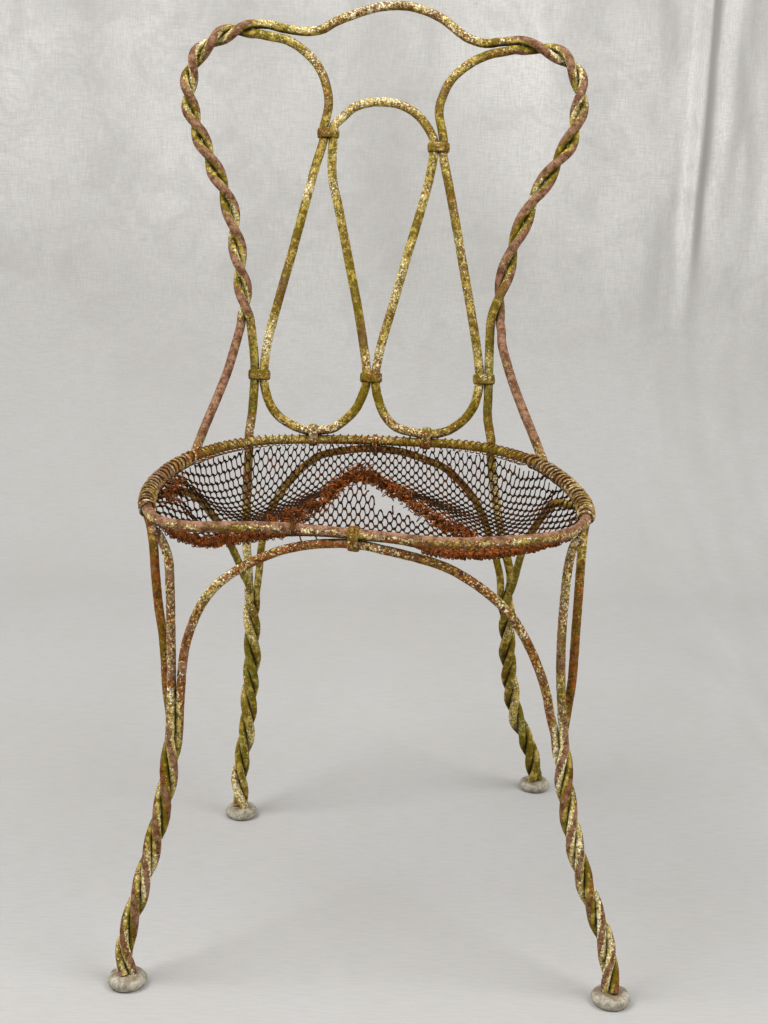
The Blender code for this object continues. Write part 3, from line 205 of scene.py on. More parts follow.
# Heights of the net against the rim: x, then y and height down each column
NET_HEIGHTS: dict[int, Table] = {
    -190: ((40, -7.5), (10, -6.8), (-30, -8), (-80, -9.5)),
    -183: ((60, -13), (30, -9), (0, -8.5), (-30, -12), (-60, -12), (-90, -13)),
    -177: ((50, -18), (75, -19)),
    -170: ((110, -15), (60, -26), (0, -31), (-60, -30), (-120, -19)),
    -135: ((160, -21), (130, -38), (100, -46), (60, -47), (0, -45), (-60, -39), (-110, -30), (-140, -20)),
    -90: ((170, -23), (140, -38), (110, -45), (60, -43), (20, -38), (-20, -36), (-60, -34), (-100, -24),
          (-130, -14)),
    -60: ((170, -21), (130, -36), (90, -34), (40, -28), (10, -26), (-20, -33), (-60, -32)),
    -40: ((170, -20), (140, -30), (100, -28), (60, -17), (35, -12), (10, -22), (-20, -35), (-40, -37),
          (-80, -26), (-120, -14)),
    -18: ((170, -18), (140, -25), (100, -18), (70, -6), (42, 2), (15, -15), (-15, -33), (-35, -36),
          (-80, -25), (-120, -13)),
    20: ((170, -20), (140, -28), (100, -25), (70, -16), (35, -13), (10, -23), (-20, -36), (-60, -34),
         (-100, -24), (-140, -13)),
    60: ((170, -22), (140, -35), (100, -37), (60, -31), (25, -31), (-20, -39), (-60, -39), (-100, -34),
         (-140, -24)),
    110: ((165, -22), (135, -38), (100, -46), (60, -46), (0, -45), (-60, -41), (-110, -33), (-140, -24),
          (-160, -14)),
    150: ((130, -17), (90, -32), (40, -38), (-20, -38), (-80, -33), (-120, -21)),
    180: ((60, -14), (30, -13), (0, -14), (-60, -18), (-100, -14)),
}
NET_TEAR: Table = (
    (-5.2, 28.9), (9.2, 35.6), (22.8, 33.4), (33.6, 32.5), (47.2, 17.1), (60.8, 22.6), (64.6, 14.9),
    (55.8, 3.6), (45.3, -0.9), (37.7, 1.4), (28.1, 5.4), (18.5, 9.0), (7.2, 5.0), (4.9, 14.9), (-2.9, 21.2),
)

def unit(v: np.ndarray) -> np.ndarray:
    """The same direction at length one, row by row."""
    return v / np.maximum(np.linalg.norm(v, axis=-1, keepdims=True), 1e-12)


def spline(points: np.ndarray, closed: bool = False, per: int = 16) -> tuple[np.ndarray, list[int]]:
    """Smooth line through the points.

    Args:
        points: places that the line passes, in order.
        closed: True for a ring.
        per: steps between two places.

    Returns:
        The dense line, and where each given place lies in it.
    """
    p = np.asarray(points, float)
    ext = np.vstack((p[-1:], p, p[:2])) if closed else np.vstack((2 * p[0] - p[1], p, 2 * p[-1] - p[-2]))
    out = []
    for four in zip(ext, ext[1:], ext[2:], ext[3:]):
        k = np.cumsum([0.0] + [max(float(np.linalg.norm(w)), 1e-9) ** 0.5 for w in np.diff(four, axis=0)])
        t = (k[1] + (k[2] - k[1]) * np.arange(per) / per)[:, None]
        level = list(four)
        for pairs in (((0, 1), (1, 2), (2, 3)), ((0, 2), (1, 3)), ((1, 2),)):
            level = [(k[j] - t) / (k[j] - k[i]) * a + (t - k[i]) / (k[j] - k[i]) * b
                     for (i, j), a, b in zip(pairs, level, level[1:])]
        out.append(level[0])
    marks = [i * per for i in range(len(out) + (0 if closed else 1))]
    if not closed:
        out.append(p[-1:])
    return np.vstack(out), marks


def arc_of(line: np.ndarray) -> np.ndarray:
    """Length from the start of a line to each of its points."""
    return np.concatenate(([0.0], np.cumsum(np.linalg.norm(np.diff(line, axis=0), axis=1))))


def along(line: np.ndarray, arc: np.ndarray, s: np.ndarray | float) -> np.ndarray:
    """Places on a line at the lengths s."""
    s = np.atleast_1d(s)
    return np.stack([np.interp(s, arc, line[:, c]) for c in range(3)], axis=1)


def heading(line: np.ndarray, arc: np.ndarray, s: np.ndarray, reach: float = 0.004) -> np.ndarray:
    """Directions of a line at the lengths s."""
    return unit(along(line, arc, np.minimum(s + reach, arc[-1])) - along(line, arc, np.maximum(s - reach, 0.0)))


def even(line: np.ndarray, step: float, closed: bool = False) -> np.ndarray:
    """The line again with points a step apart.

    Args:
        line: the line.
        step: length between two points.
        closed: True for a ring.

    Returns:
        The new line.
    """
    full = np.vstack((line, line[:1])) if closed else line
    arc = arc_of(full)
    count = max(int(round(arc[-1] / step)), 3)
    s = np.linspace(0.0, arc[-1], count + 1)
    return along(full, arc, s[:-1] if closed else s)


def chain(*parts: np.ndarray | list) -> np.ndarray:
    """Join fixed runs (arrays) and free bends (lists of places) into one line.

    Args:
        parts: runs and bends in order; each bend is curved to meet its neighbours.

    Returns:
        The whole line.
    """
    line: list[np.ndarray] = []
    for i, part in enumerate(parts):
        if isinstance(part, np.ndarray):
            line.append(part)
            continue
        before = parts[i - 1][-2:] if i > 0 else np.empty((0, 3))
        after = parts[i + 1][:2] if i + 1 < len(parts) else np.empty((0, 3))
        dense, marks = spline(np.vstack((before, np.array(part), after)))
        start = marks[1] + 1 if len(before) else 0
        end = marks[-2] if len(after) else len(dense)
        line.append(dense[start:end])
    return np.vstack(line)


class Zone(Enum):
    """Parts of the ironwork, each with the name of its paint and where its flakes start."""

    BACK = ("worn_paint_back", 0.0)
    RIM = ("worn_paint_rim", 21.0)
    APRON = ("worn_paint_apron", 37.0)

    @classmethod
    def of(cls, node: str) -> "Zone":
        """Part that a node belongs to."""
        return cls.RIM if node == "seat_rim" else cls.BACK if node.startswith(("crest", "scroll")) else cls.APRON


@dataclass
class Sizes:
    """Stock and places that the pieces share; rods are given by their radius."""

    seat_height: float = 0.436
    lean: float = 0.231
    back_rod: float = 0.00475
    rim_rod: float = 0.00475
    apron_rod: float = 0.0040
    gap: float = 0.0003
    strand_steps: int = 40
    back_foot: float = 0.1986
    collar_run: float = 0.0068
    cross_run: float = 0.006
    tied_run: float = 0.0065
    arch_run: float = 0.009
    bound_run: float = 0.0165
    brace_past: float = 0.0062
    bundle_run: float = 0.008
    bundle_rise: float = 0.012
    bundle_clear: float = 0.0104
    bundle_side: float = 0.06
    strand_clear: float = 1.004
    brace_foot: tuple[float, float] = (182.0, 125.0)
    brace_clear: float = 0.99
    brace_fade: tuple[float, float] = (436, 120)
    upright_clear: float = 1.01
    upright_x: tuple[float, float] = (-128.0, 116.5)
    collars: dict[str, tuple[float, float]] = field(default_factory=lambda: {
        "UL": (-57.9, 316.0), "UR": (59.0, 304.1), "LL": (-124.8, 66.3), "LC": (-6.0, 66.3),
        "LR": (113.9, 67.3),
    })
    u_tie_x: tuple[float, float] = (-66.0, 55.0)
    front_clamp: tuple[float, float] = (-9.5, -166)
    rear_tie: tuple[float, float] = (0, 205)
    left_bound: tuple[float, float] = (-203, -66)
    right_bound: tuple[float, float] = (200, -52)
    leg_turns: dict[str, float] = field(default_factory=lambda: {"FL": 2.0, "FR": 2.35, "RL": 2.5, "RR": 2.5})
    twist_top: dict[str, float] = field(default_factory=lambda: {
        "FL": 0.242, "FR": 0.242, "RL": 0.254, "RR": 0.254,
    })

    @property
    def to_back(self) -> float:
        """From the rim's middle line to that of a back rod on it."""
        return self.rim_rod + self.back_rod + self.gap

    @property
    def to_apron(self) -> float:
        """From the rim's middle line to that of an apron rod on it."""
        return self.rim_rod + self.apron_rod + self.gap

    def stock(self, node: str) -> float:
        """Radius of the rod of a node."""
        return {Zone.RIM: self.rim_rod, Zone.BACK: self.back_rod, Zone.APRON: self.apron_rod}[Zone.of(node)]


class RimLine:
    """Middle line of the seat rim, with places and directions along it."""

    look = 0.003
    middle_y = 0.012

    def __init__(self, height: float) -> None:
        """Lay the ring at its height.

        Args:
            height: height of the middle line.
        """
        self.dense, _ = spline(np.array([(x * MM, y * MM, height) for x, y in RIM_PLAN]), closed=True, per=24)
        self.ring = np.vstack((self.dense, self.dense[:1]))
        self.arc = arc_of(self.ring)
        self.length = float(self.arc[-1])

    def at(self, s: np.ndarray | float) -> tuple[np.ndarray, np.ndarray, np.ndarray]:
        """Place, direction along the ring and outward direction at the lengths s.

        Args:
            s: lengths along the ring.

        Returns:
            Places, directions and outward directions, one row each.
        """
        s = np.atleast_1d(s)
        p, ahead, behind = (along(self.ring, self.arc, (s + k) % self.length) for k in (0.0, self.look, -self.look))
        t = unit(ahead - behind)
        out = np.stack((t[:, 1], -t[:, 0], np.zeros(len(t))), axis=1)
        out[np.sum(out * p, axis=1) < 0] *= -1
        return p, t, out

    def near(self, x_mm: float, y_mm: float) -> float:
        """Length along the ring that is nearest to a place in plan."""
        return float(self.arc[int(np.argmin(np.hypot(self.dense[:, 0] - x_mm * MM, self.dense[:, 1] - y_mm * MM)))])

    def at_x(self, x: float, rear: bool) -> float:
        """Length along the rear or front run where the ring has this x."""
        side = self.dense[:, 1] > 0 if rear else self.dense[:, 1] < 0
        return float(self.arc[int(np.argmin(np.where(side, np.abs(self.dense[:, 0] - x), 9.0)))])

    def off_axis(self, p: np.ndarray) -> np.ndarray:
        """How far places near the rim lie from its middle line."""
        return np.array([np.linalg.norm(self.dense - one, axis=1).min() for one in p])

    def distance(self, x: np.ndarray, y: np.ndarray) -> np.ndarray:
        """How far inside the ring places in plan lie; negative outside.

        Args:
            x: places across.
            y: places from front to rear.

        Returns:
            Distance to the middle line.
        """
        places = np.stack((x, y), axis=-1)[:, None, :]
        gap = np.min(np.linalg.norm(places - self.ring[None, :-1:3, :2], axis=2), axis=1)
        rx, ry = self.dense[:, 0], self.dense[:, 1] - self.middle_y
        ring_angle = np.arctan2(ry, rx)
        order = np.argsort(ring_angle)
        reach = np.interp(np.arctan2(y - self.middle_y, x), ring_angle[order], np.hypot(rx, ry)[order],
                          period=2 * math.pi)
        return np.where(np.hypot(x, y - self.middle_y) < reach, gap, -gap)


class Layout:
    """Middle lines of all rods, worked out from the tables."""

    def __init__(self, sizes: Sizes) -> None:
        """Set up the rim, the leaning back plane and the twisted legs.

        Args:
            sizes: shared sizes.
        """
        self.z = sizes
        self.rim = RimLine(sizes.seat_height)
        rear = [self.rim.at(self.rim.at_x(x * MM, True))[0][0][1] for x in sizes.u_tie_x]
        self.foot_y = sum(rear) / 2 - sizes.lean * sizes.to_back
        self.up = unit(np.array((0.0, sizes.lean, 1.0)))
        self.front = unit(np.array((0.0, -1.0, sizes.lean)))
        thin = (sizes.apron_rod,) * 3
        thick = (sizes.back_rod, *thin[1:])
        self.legs = {key: self.leg(key, radii, turned, hand) for key, radii, turned, hand in (
            ("FL", thin, (240, 0, 120), -1), ("FR", thin, (300, 180, 60), 1),
            ("RL", thick, (130, 10, 250), -1), ("RR", thick, (50, 170, 290), 1))}
        self.lines: dict[str, Rod] = {}

    def back(self, table: Table) -> list[np.ndarray]:
        """Places on the leaning plane of the back."""
        return [np.array((x * MM, self.foot_y + u * MM * self.z.lean, self.z.seat_height + u * MM))
                for x, u in table]

    def low(self, table: Places, key: str) -> list[np.ndarray]:
        """Places of the lower frame, in metres, clear above the bound top of the named leg.

        Args:
            table: places in millimetres.
            key: leg that the bends run into.

        Returns:
            The places that are clear of it.
        """
        floor = self.z.twist_top[key] + self.z.bundle_clear
        side = np.array(LEG_LINES[key][-1][:2]) * MM
        places = [np.array(p) * MM for p in table]
        return [p for p in places if p[2] > floor or np.linalg.norm(p[:2] - side) > self.z.bundle_side]

    def leg(self, key: str, radii: tuple[float, ...], turned: tuple[int, ...], hand: int) -> list[np.ndarray]:
        """Three strands of a leg from the foot up.

        Args:
            key: which leg.
            radii: radius of each strand's stock.
            turned: angle of each strand at the top, in degrees.
            hand: which way the strands wind.

        Returns:
            One line for each strand.
        """
        z, middle = self.z, [np.array(p) * MM for p in LEG_LINES[key]]
        top_z = z.twist_top[key] + z.bundle_run
        slope = (middle[-1] - middle[-2]) / (middle[-1][2] - middle[-2][2])
        if top_z + z.bundle_rise > middle[-1][2]:
            middle.append(middle[-1] + slope * (top_z + z.bundle_rise - middle[-1][2]))
        dense, _ = spline(np.array(middle))
        arc = arc_of(dense)
        top, twist = (float(np.interp(height, dense[:, 2], arc)) for height in (top_z, z.twist_top[key]))
        turns = z.leg_turns[key]
        steps = int(turns * z.strand_steps)
        s = np.append(twist * np.arange(steps + 1) / steps, ((twist + top) / 2, top))
        turn = np.append(-2 * math.pi * turns * (1 - np.arange(steps + 1) / steps), (0.0, 0.0))
        p, t = along(dense, arc, s), heading(dense, arc, s)
        ex = unit(np.array((1.0, 0, 0)) - t * t[:, :1])
        ey = np.cross(t, ex)
        d01, d12, d02 = ((radii[i] + radii[j] + z.gap) * z.strand_clear for i, j in ((0, 1), (1, 2), (0, 2)))
        x = (d01 ** 2 + d02 ** 2 - d12 ** 2) / (2 * d01)
        tri = np.array(((0.0, 0.0), (d01, 0.0), (x, math.sqrt(d02 ** 2 - x ** 2))))
        tri -= tri.mean(axis=0)
        base = math.atan2(tri[0][1], tri[0][0])
        start = [math.radians(a) for a in turned]
        order = 1.0 if (start[1] - start[0]) % (2 * math.pi) < math.pi else -1.0
        strands = []
        for spot in tri:
            a = (start[0] + order * (math.atan2(spot[1], spot[0]) - base) + hand * turn)[:, None]
            strands.append(p + float(np.hypot(*spot)) * (np.cos(a) * ex + np.sin(a) * ey))
        return strands

    def stile(self, table: Table, crossings: tuple[float, ...], turns: int, outward: float) -> list[np.ndarray]:
        """The crest strand and the scroll strand of a twisted stile, top to bottom.

        Args:
            table: middle line of the twist.
            crossings: parts of its length where the strands cross.
            turns: full turns.
            outward: side on which the crest strand starts.

        Returns:
            The two strands.
        """
        dense, _ = spline(np.array(self.back(table)), per=24)
        arc = arc_of(dense)
        angles = [0.0, *(math.pi * (0.5 + k) for k in range(len(crossings))), 2 * math.pi * turns]
        theta = np.linspace(0.0, 2 * math.pi * turns, turns * self.z.strand_steps + 1)
        share, _ = spline(np.array([(a, k, 0.0) for a, k in zip(angles, [0.0, *crossings, 1.0])]), per=12)
        s = np.interp(theta, share[:, 0], share[:, 1]) * arc[-1]
        side = unit(np.cross(heading(dense, arc, s), self.front)) * outward
        away = np.cos(theta)[:, None] * side + np.sin(theta)[:, None] * self.front
        off = (self.z.back_rod + self.z.gap / 2) * away
        p = along(dense, arc, s)
        return [p + off, p - off]

    def lane(self, key: str, side: int, order: int = 1) -> np.ndarray:
        """Straight run of a rod through a collar; order 1 runs upward."""
        c = self.back((self.z.collars[key],))[0] + (side * (self.z.back_rod + self.z.gap / 2), 0, 0)
        return np.array([c + self.up * self.z.collar_run * k * order for k in (-1, 0, 1)])

    def brace(self, table: Places, side: int) -> list[np.ndarray]:
        """Bends of a brace, with a straight end that runs past the outside of the rim.

        Args:
            table: places between the back and the rim.
            side: -1 left, 1 right.

        Returns:
            The places.
        """
        z, shift = self.z, self.foot_y - self.z.back_foot
        low, rise = z.brace_fade
        bends = [np.array((x * MM, y * MM + shift * min(max((h - low) / rise, 0), 1), h * MM)) for x, y, h in table]
        p, _, out = self.rim.at(self.rim.near(side * z.brace_foot[0], z.brace_foot[1]))
        foot = p[0] + out[0] * z.to_back * z.brace_clear
        run = unit(foot - bends[-1])
        return bends + [foot + run * z.brace_past * k for k in (-2, 0, 1)]

    def tip(self, x_mm: float, y_mm: float) -> list[np.ndarray]:
        """Last places of a corner post, which leans outward and ends tucked under the rim.

        Args:
            x_mm: plan x of the spot on the rim.
            y_mm: its plan y.

        Returns:
            Three places.
        """
        p, _, out = self.rim.at(self.rim.near(x_mm, y_mm))
        r = self.z.to_apron
        return [p[0] + out[0] * r * a + (0, 0, r * b) for a, b in ((-0.03, -1.385), (0.28, -1.075), (0.59, -0.765))]

    def arch_top(self, spot: tuple[float, float], reach: float, axis: int) -> np.ndarray:
        """Straight run below the rim that touches it, from left to right or from front to rear.

        Args:
            spot: plan of its middle.
            reach: half its length.
            axis: 0 or 1: the way it runs.

        Returns:
            Three places.
        """
        s = self.rim.near(*spot)
        run = self.rim.at(np.array((s - reach, s, s + reach)))[0] - (0, 0, self.z.to_apron)
        return run[::-1] if run[0][axis] > run[-1][axis] else run

    def upright_cross(self, x_mm: float) -> np.ndarray:
        """Straight run of an upright up the rear of the rim.

        Args:
            x_mm: where it crosses the rim.

        Returns:
            Three places.
        """
        p, _, out = self.rim.at(self.rim.at_x(x_mm * MM, True))
        q = p[0] + out[0] * self.z.to_back * self.z.upright_clear
        return np.array([q + (0, 0, k * self.z.cross_run) for k in (-1, 0, 1)])

    def u_bottom(self, x_mm: float) -> np.ndarray:
        """Straight run of a U bend on the rear rim, left to right.

        Args:
            x_mm: where it lies on the rim.

        Returns:
            Three places.
        """
        p, t, _ = self.rim.at(self.rim.at_x(x_mm * MM, True))
        t = t[0] * math.copysign(1.0, t[0][0])
        return np.array([p[0] + (0, 0, self.z.to_back) + t * (k * self.z.tied_run) for k in (-1, 0, 1)])

    def draw(self) -> dict[str, Rod]:
        """Middle line, radius and closed or not, for every rod by the name of its node.

        Returns:
            The rods, in the order in which they are built.
        """
        z, back, low, legs, lane = self.z, self.back, self.low, self.legs, self.lane
        crest_l, scroll_l = self.stile(STILE_LEFT, CROSS_LEFT, 5, 1.0)
        crest_r, scroll_r = self.stile(STILE_RIGHT, CROSS_RIGHT, 4, -1.0)
        end_l, end_r = lane("UL", -1, -1)[:2], lane("UR", 1, -1)[:2]
        start, finish = lane("UL", -1, -1)[1:], lane("UR", 1)[:2]
        for run, spot, way in ((end_l, 1, 1), (end_r, 1, 1), (start, 0, -1), (finish, 1, -1)):
            run[spot] += way * self.up * z.gap / 2
        rods = {"seat_rim": self.rim.dense,
                "crest_rod": chain(self.brace(BRACE_LEFT, -1)[::-1], crest_l[::-1], back(CREST_WAVE), crest_r,
                                   self.brace(BRACE_RIGHT, 1))}
        for side, leg, below, cross_x, rise, key, hand, high, strand, loop, end in (
                ("left", "RL", UPRIGHT_LEFT_LOW, z.upright_x[0], UPRIGHT_LEFT, "LL", -1, UPRIGHT_LEFT_HIGH,
                 scroll_l, LOOP_LEFT, end_l),
                ("right", "RR", UPRIGHT_RIGHT_LOW, z.upright_x[1], UPRIGHT_RIGHT, "LR", 1, UPRIGHT_RIGHT_HIGH,
                 scroll_r, LOOP_RIGHT, end_r)):
            rods["scroll_" + side] = chain(legs[leg][0], low(below[::-1], leg), self.upright_cross(cross_x),
                                           back(rise), lane(key, hand), back(high), strand[::-1], back(loop), end)
        rods["scroll_centre"] = chain(
            start, back(DROP_LEFT_OUT), lane("LL", 1, -1), back(U_LEFT), self.u_bottom(z.u_tie_x[0]),
            back(U_LEFT_END), lane("LC", -1), back(DROP_LEFT_IN), lane("UL", 1), back(MIDDLE_ARCH),
            lane("UR", -1, -1), back(DROP_RIGHT_IN), lane("LC", 1, -1), back(U_RIGHT), self.u_bottom(z.u_tie_x[1]),
            back(U_RIGHT_END), lane("LR", -1), back(DROP_RIGHT_OUT), finish)
        for name, k, axis, spot, reach, a, rising, b, falling in (
                ("front", 1, 0, z.front_clamp, z.arch_run, "FL", FRONT_ARCH_LEFT, "FR", FRONT_ARCH_RIGHT),
                ("rear", 1, 0, z.rear_tie, z.arch_run, "RL", REAR_ARCH_LEFT, "RR", REAR_ARCH_RIGHT),
                ("left", 2, 1, z.left_bound, z.bound_run, "FL", LEFT_ARCH_FRONT, "RL", LEFT_ARCH_REAR),
                ("right", 2, 1, z.right_bound, z.bound_run, "FR", RIGHT_ARCH_FRONT, "RR", RIGHT_ARCH_REAR)):
            rods[name + "_arch"] = chain(legs[a][k], low(rising, a), self.arch_top(spot, reach, axis),
                                         low(falling, b), legs[b][k][::-1])
        for side, key, table, spot in (("left", "FL", POST_LEFT, (-178.6, -140.7)),
                                       ("right", "FR", POST_RIGHT, (178.1, -136.4))):
            rods[f"front_{side}_post"] = chain(legs[key][0], low(table, key) + self.tip(*spot))
        self.lines = {node: (line, z.stock(node), node == "seat_rim") for node, line in rods.items()}
        return self.lines


def fractal(points: np.ndarray, scale: float, octaves: int = 3, seed: float = 0.0) -> np.ndarray:
    """Rolling noise at places, about -1 to 1; scale is waves per metre."""
    return np.array([noise.fractal(p, 0.9, 2.0, octaves) for p in (points * scale + seed).tolist()])


def wobble(places: Iterable[tuple[float, float, float]]) -> np.ndarray:
    """Plain noise at places, about -1 to 1."""
    return np.array([noise.noise(p) for p in places])


def smooth_step(value: np.ndarray, low: float, high: float) -> np.ndarray:
    """0 below low, 1 above high and an eased rise between them."""
    k = np.clip((value - low) / (high - low), 0.0, 1.0)
    return k * k * (3 - 2 * k)


def toward(value: np.ndarray, goal: np.ndarray | float, share: np.ndarray) -> np.ndarray:
    """The value where the share is 0, the goal where it is 1."""
    return value * (1 - share) + share * goal


def threes(rows: bpy.types.bpy_prop_collection, key: str) -> np.ndarray:
    """Three numbers from each row of a mesh.

    Args:
        rows: vertices or normals.
        key: name of the numbers.

    Returns:
        One row for each.
    """
    out = np.empty(len(rows) * 3, np.float32)
    rows.foreach_get(key, out)
    return out.reshape(-1, 3).astype(float)


def coords(mesh: bpy.types.Mesh) -> np.ndarray:
    """Places of a mesh's vertices."""
    return threes(mesh.vertices, "co")


def normals(mesh: bpy.types.Mesh) -> np.ndarray:
    """Outward directions at a mesh's vertices."""
    return threes(mesh.vertex_normals, "vector")


def set_coords(mesh: bpy.types.Mesh, places: np.ndarray) -> None:
    """Move a mesh's vertices to new places."""
    mesh.vertices.foreach_set("co", places.astype(np.float32).ravel())
    mesh.update()


def put_values(mesh: bpy.types.Mesh, name: str, values: np.ndarray | float) -> None:
    """Keep one number for each vertex, for the materials."""
    layer = mesh.attributes.new(name=name, type="FLOAT", domain="POINT")
    layer.data.foreach_set("value", np.broadcast_to(values, len(mesh.vertices)).astype(np.float32))


def spread_values(mesh: bpy.types.Mesh, name: str, lines: list[np.ndarray], values: list[np.ndarray]) -> None:
    """Keep on each vertex the number of the nearest point of the lines."""
    tree = tree_of(np.vstack(lines) + SHIFT)
    put_values(mesh, name, np.concatenate(values)[[tree.find(place)[1] for place in coords(mesh).tolist()]])


def tree_of(points: np.ndarray) -> kdtree.KDTree:
    """Search tree of places, to find the nearest one.

    Args:
        points: the places.

    Returns:
        The tree, with the numbers of the rows.
    """
    tree = kdtree.KDTree(len(points))
    for i, point in enumerate(points.tolist()):
        tree.insert(point, i)
    tree.balance()
    return tree


def add_piece(name: str, mesh: bpy.types.Mesh) -> bpy.types.Object:
    """Put a mesh in the scene as a smooth piece.

    Args:
        name: name of the piece.
        mesh: its mesh.

    Returns:
        The piece.
    """
    mesh.shade_smooth()
    piece = bpy.data.objects.new(name, mesh)
    bpy.context.scene.collection.objects.link(piece)
    return piece


def piece_of(name: str, bm: bmesh.types.BMesh) -> bpy.types.Object:
    """Turn a finished edit mesh into a piece.

    Args:
        name: name of the piece.
        bm: the edit mesh, which is used up.

    Returns:
        The piece.
    """
    bmesh.ops.recalc_face_normals(bm, faces=bm.faces)
    mesh = bpy.data.meshes.new(name)
    bm.to_mesh(mesh)
    bm.free()
    return add_piece(name, mesh)


def extruded(bm: bmesh.types.BMesh, edges: list) -> tuple[set, list]:
    """Extrude edges; gives the new vertices and the edges between them.

    Args:
        bm: the edit mesh.
        edges: edges to extrude.

    Returns:
        New vertices, new edges.
    """
    made = bmesh.ops.extrude_edge_only(bm, edges=edges)["geom"]
    fresh = {g for g in made if isinstance(g, bmesh.types.BMVert)}
    return fresh, [g for g in made if isinstance(g, bmesh.types.BMEdge) and all(v in fresh for v in g.verts)]


def railed(bm: bmesh.types.BMesh, places: np.ndarray) -> tuple[list, list]:
    """Vertices at places and the edges from each to the next."""
    rail = [bm.verts.new(p) for p in places]
    return rail, [bm.edges.new(pair) for pair in zip(rail, rail[1:])]


def swept(name: str, lines: list[np.ndarray], radius: float, ring: int = 6, closed: bool = False,
          swell: list[np.ndarray] | None = None) -> bpy.types.Object:
    """Round stock swept along lines as one mesh.

    Args:
        name: name of the piece.
        lines: middle lines, counted from the middle of the seat.
        radius: radius of the stock.
        ring: corners of the section, even.
        closed: True where each line is a ring.
        swell: share of the radius at each point of each line.

    Returns:
        The new piece, with its place in its mesh.
    """
    curve = bpy.data.curves.new(name, "CURVE")
    curve.dimensions = "3D"
    curve.fill_mode = "FULL"
    curve.bevel_depth = radius
    curve.bevel_resolution = (ring - 4) // 2
    curve.use_fill_caps = True
    for i, line in enumerate(lines):
        run = curve.splines.new("POLY")
        run.points.add(len(line) - 1)
        run.points.foreach_set("co", np.c_[line + SHIFT, np.ones(len(line))].ravel())
        if swell is not None:
            run.points.foreach_set("radius", swell[i])
        run.use_cyclic_u = closed
    draft = bpy.data.objects.new(name + "_draft", curve)
    bpy.context.scene.collection.objects.link(draft)
    mesh = bpy.data.meshes.new_from_object(draft.evaluated_get(bpy.context.evaluated_depsgraph_get()))
    bpy.data.objects.remove(draft, do_unlink=True)
    bpy.data.curves.remove(curve)
    mesh.name = name
    return add_piece(name, mesh)


def lofted(name: str, rings: list[np.ndarray]) -> bpy.types.Object:
    """Closed band made by extruding one outline through others and bridging the last to the first.

    Args:
        name: name of the piece.
        rings: outlines with the same number of points, counted from the middle of the seat.

    Returns:
        The new piece, with each face cut in four.
    """
    bm = bmesh.new()
    loop, first = railed(bm, rings[0] + SHIFT)
    first.append(bm.edges.new((loop[-1], loop[0])))
    edges = list(first)
    for ring in rings[1:]:
        fresh, edges = extruded(bm, edges)
        loop = [next(e.other_vert(v) for e in v.link_edges if e.other_vert(v) in fresh) for v in loop]
        for v, p in zip(loop, ring):
            v.co = p + SHIFT
    bmesh.ops.bridge_loops(bm, edges=first + edges)
    bmesh.ops.subdivide_edges(bm, edges=bm.edges, cuts=1, use_grid_fill=True)
    return piece_of(name, bm)


def round_two(r1: float, away: float, r2: float, grow: float, count: int, start: float = 0.0) -> np.ndarray:
    """Outline round two circles in a plane, grown outward.

    Args:
        r1: radius of the first circle.
        away: where the second circle's middle lies on the plane's first axis.
        r2: its radius.
        grow: how far outside the circles the outline runs.
        count: points of the outline.
        start: where the first circle's middle lies on the plane's first axis.

    Returns:
        Plane points, counted once round.
    """
    a, b = np.array((start, 0.0)), np.array((away, 0.0))
    base = math.atan2(0.0, away - start)
    tilt = math.asin((r1 - r2) / abs(away - start))
    half = np.arange(count // 2) / (count // 2 - 1)
    near = base - math.pi / 2 + tilt + (math.pi - 2 * tilt) * half
    far = base + math.pi / 2 - tilt + (math.pi + 2 * tilt) * half
    return np.vstack((b + (r2 + grow) * np.c_[np.cos(near), np.sin(near)],
                      a + (r1 + grow) * np.c_[np.cos(far), np.sin(far)]))


def srgb(red: float, green: float, blue: float) -> tuple[float, float, float, float]:
    """Colour for a node from the three 0 to 255 numbers seen on a screen.

    Args:
        red: 0 to 255.
        green: 0 to 255.
        blue: 0 to 255.

    Returns:
        Linear colour with alpha 1.
    """
    linear = (v / 255.0 / 12.92 if v / 255.0 <= 0.04045 else ((v / 255.0 + 0.055) / 1.055) ** 2.4
              for v in (red, green, blue))
    return *linear, 1.0


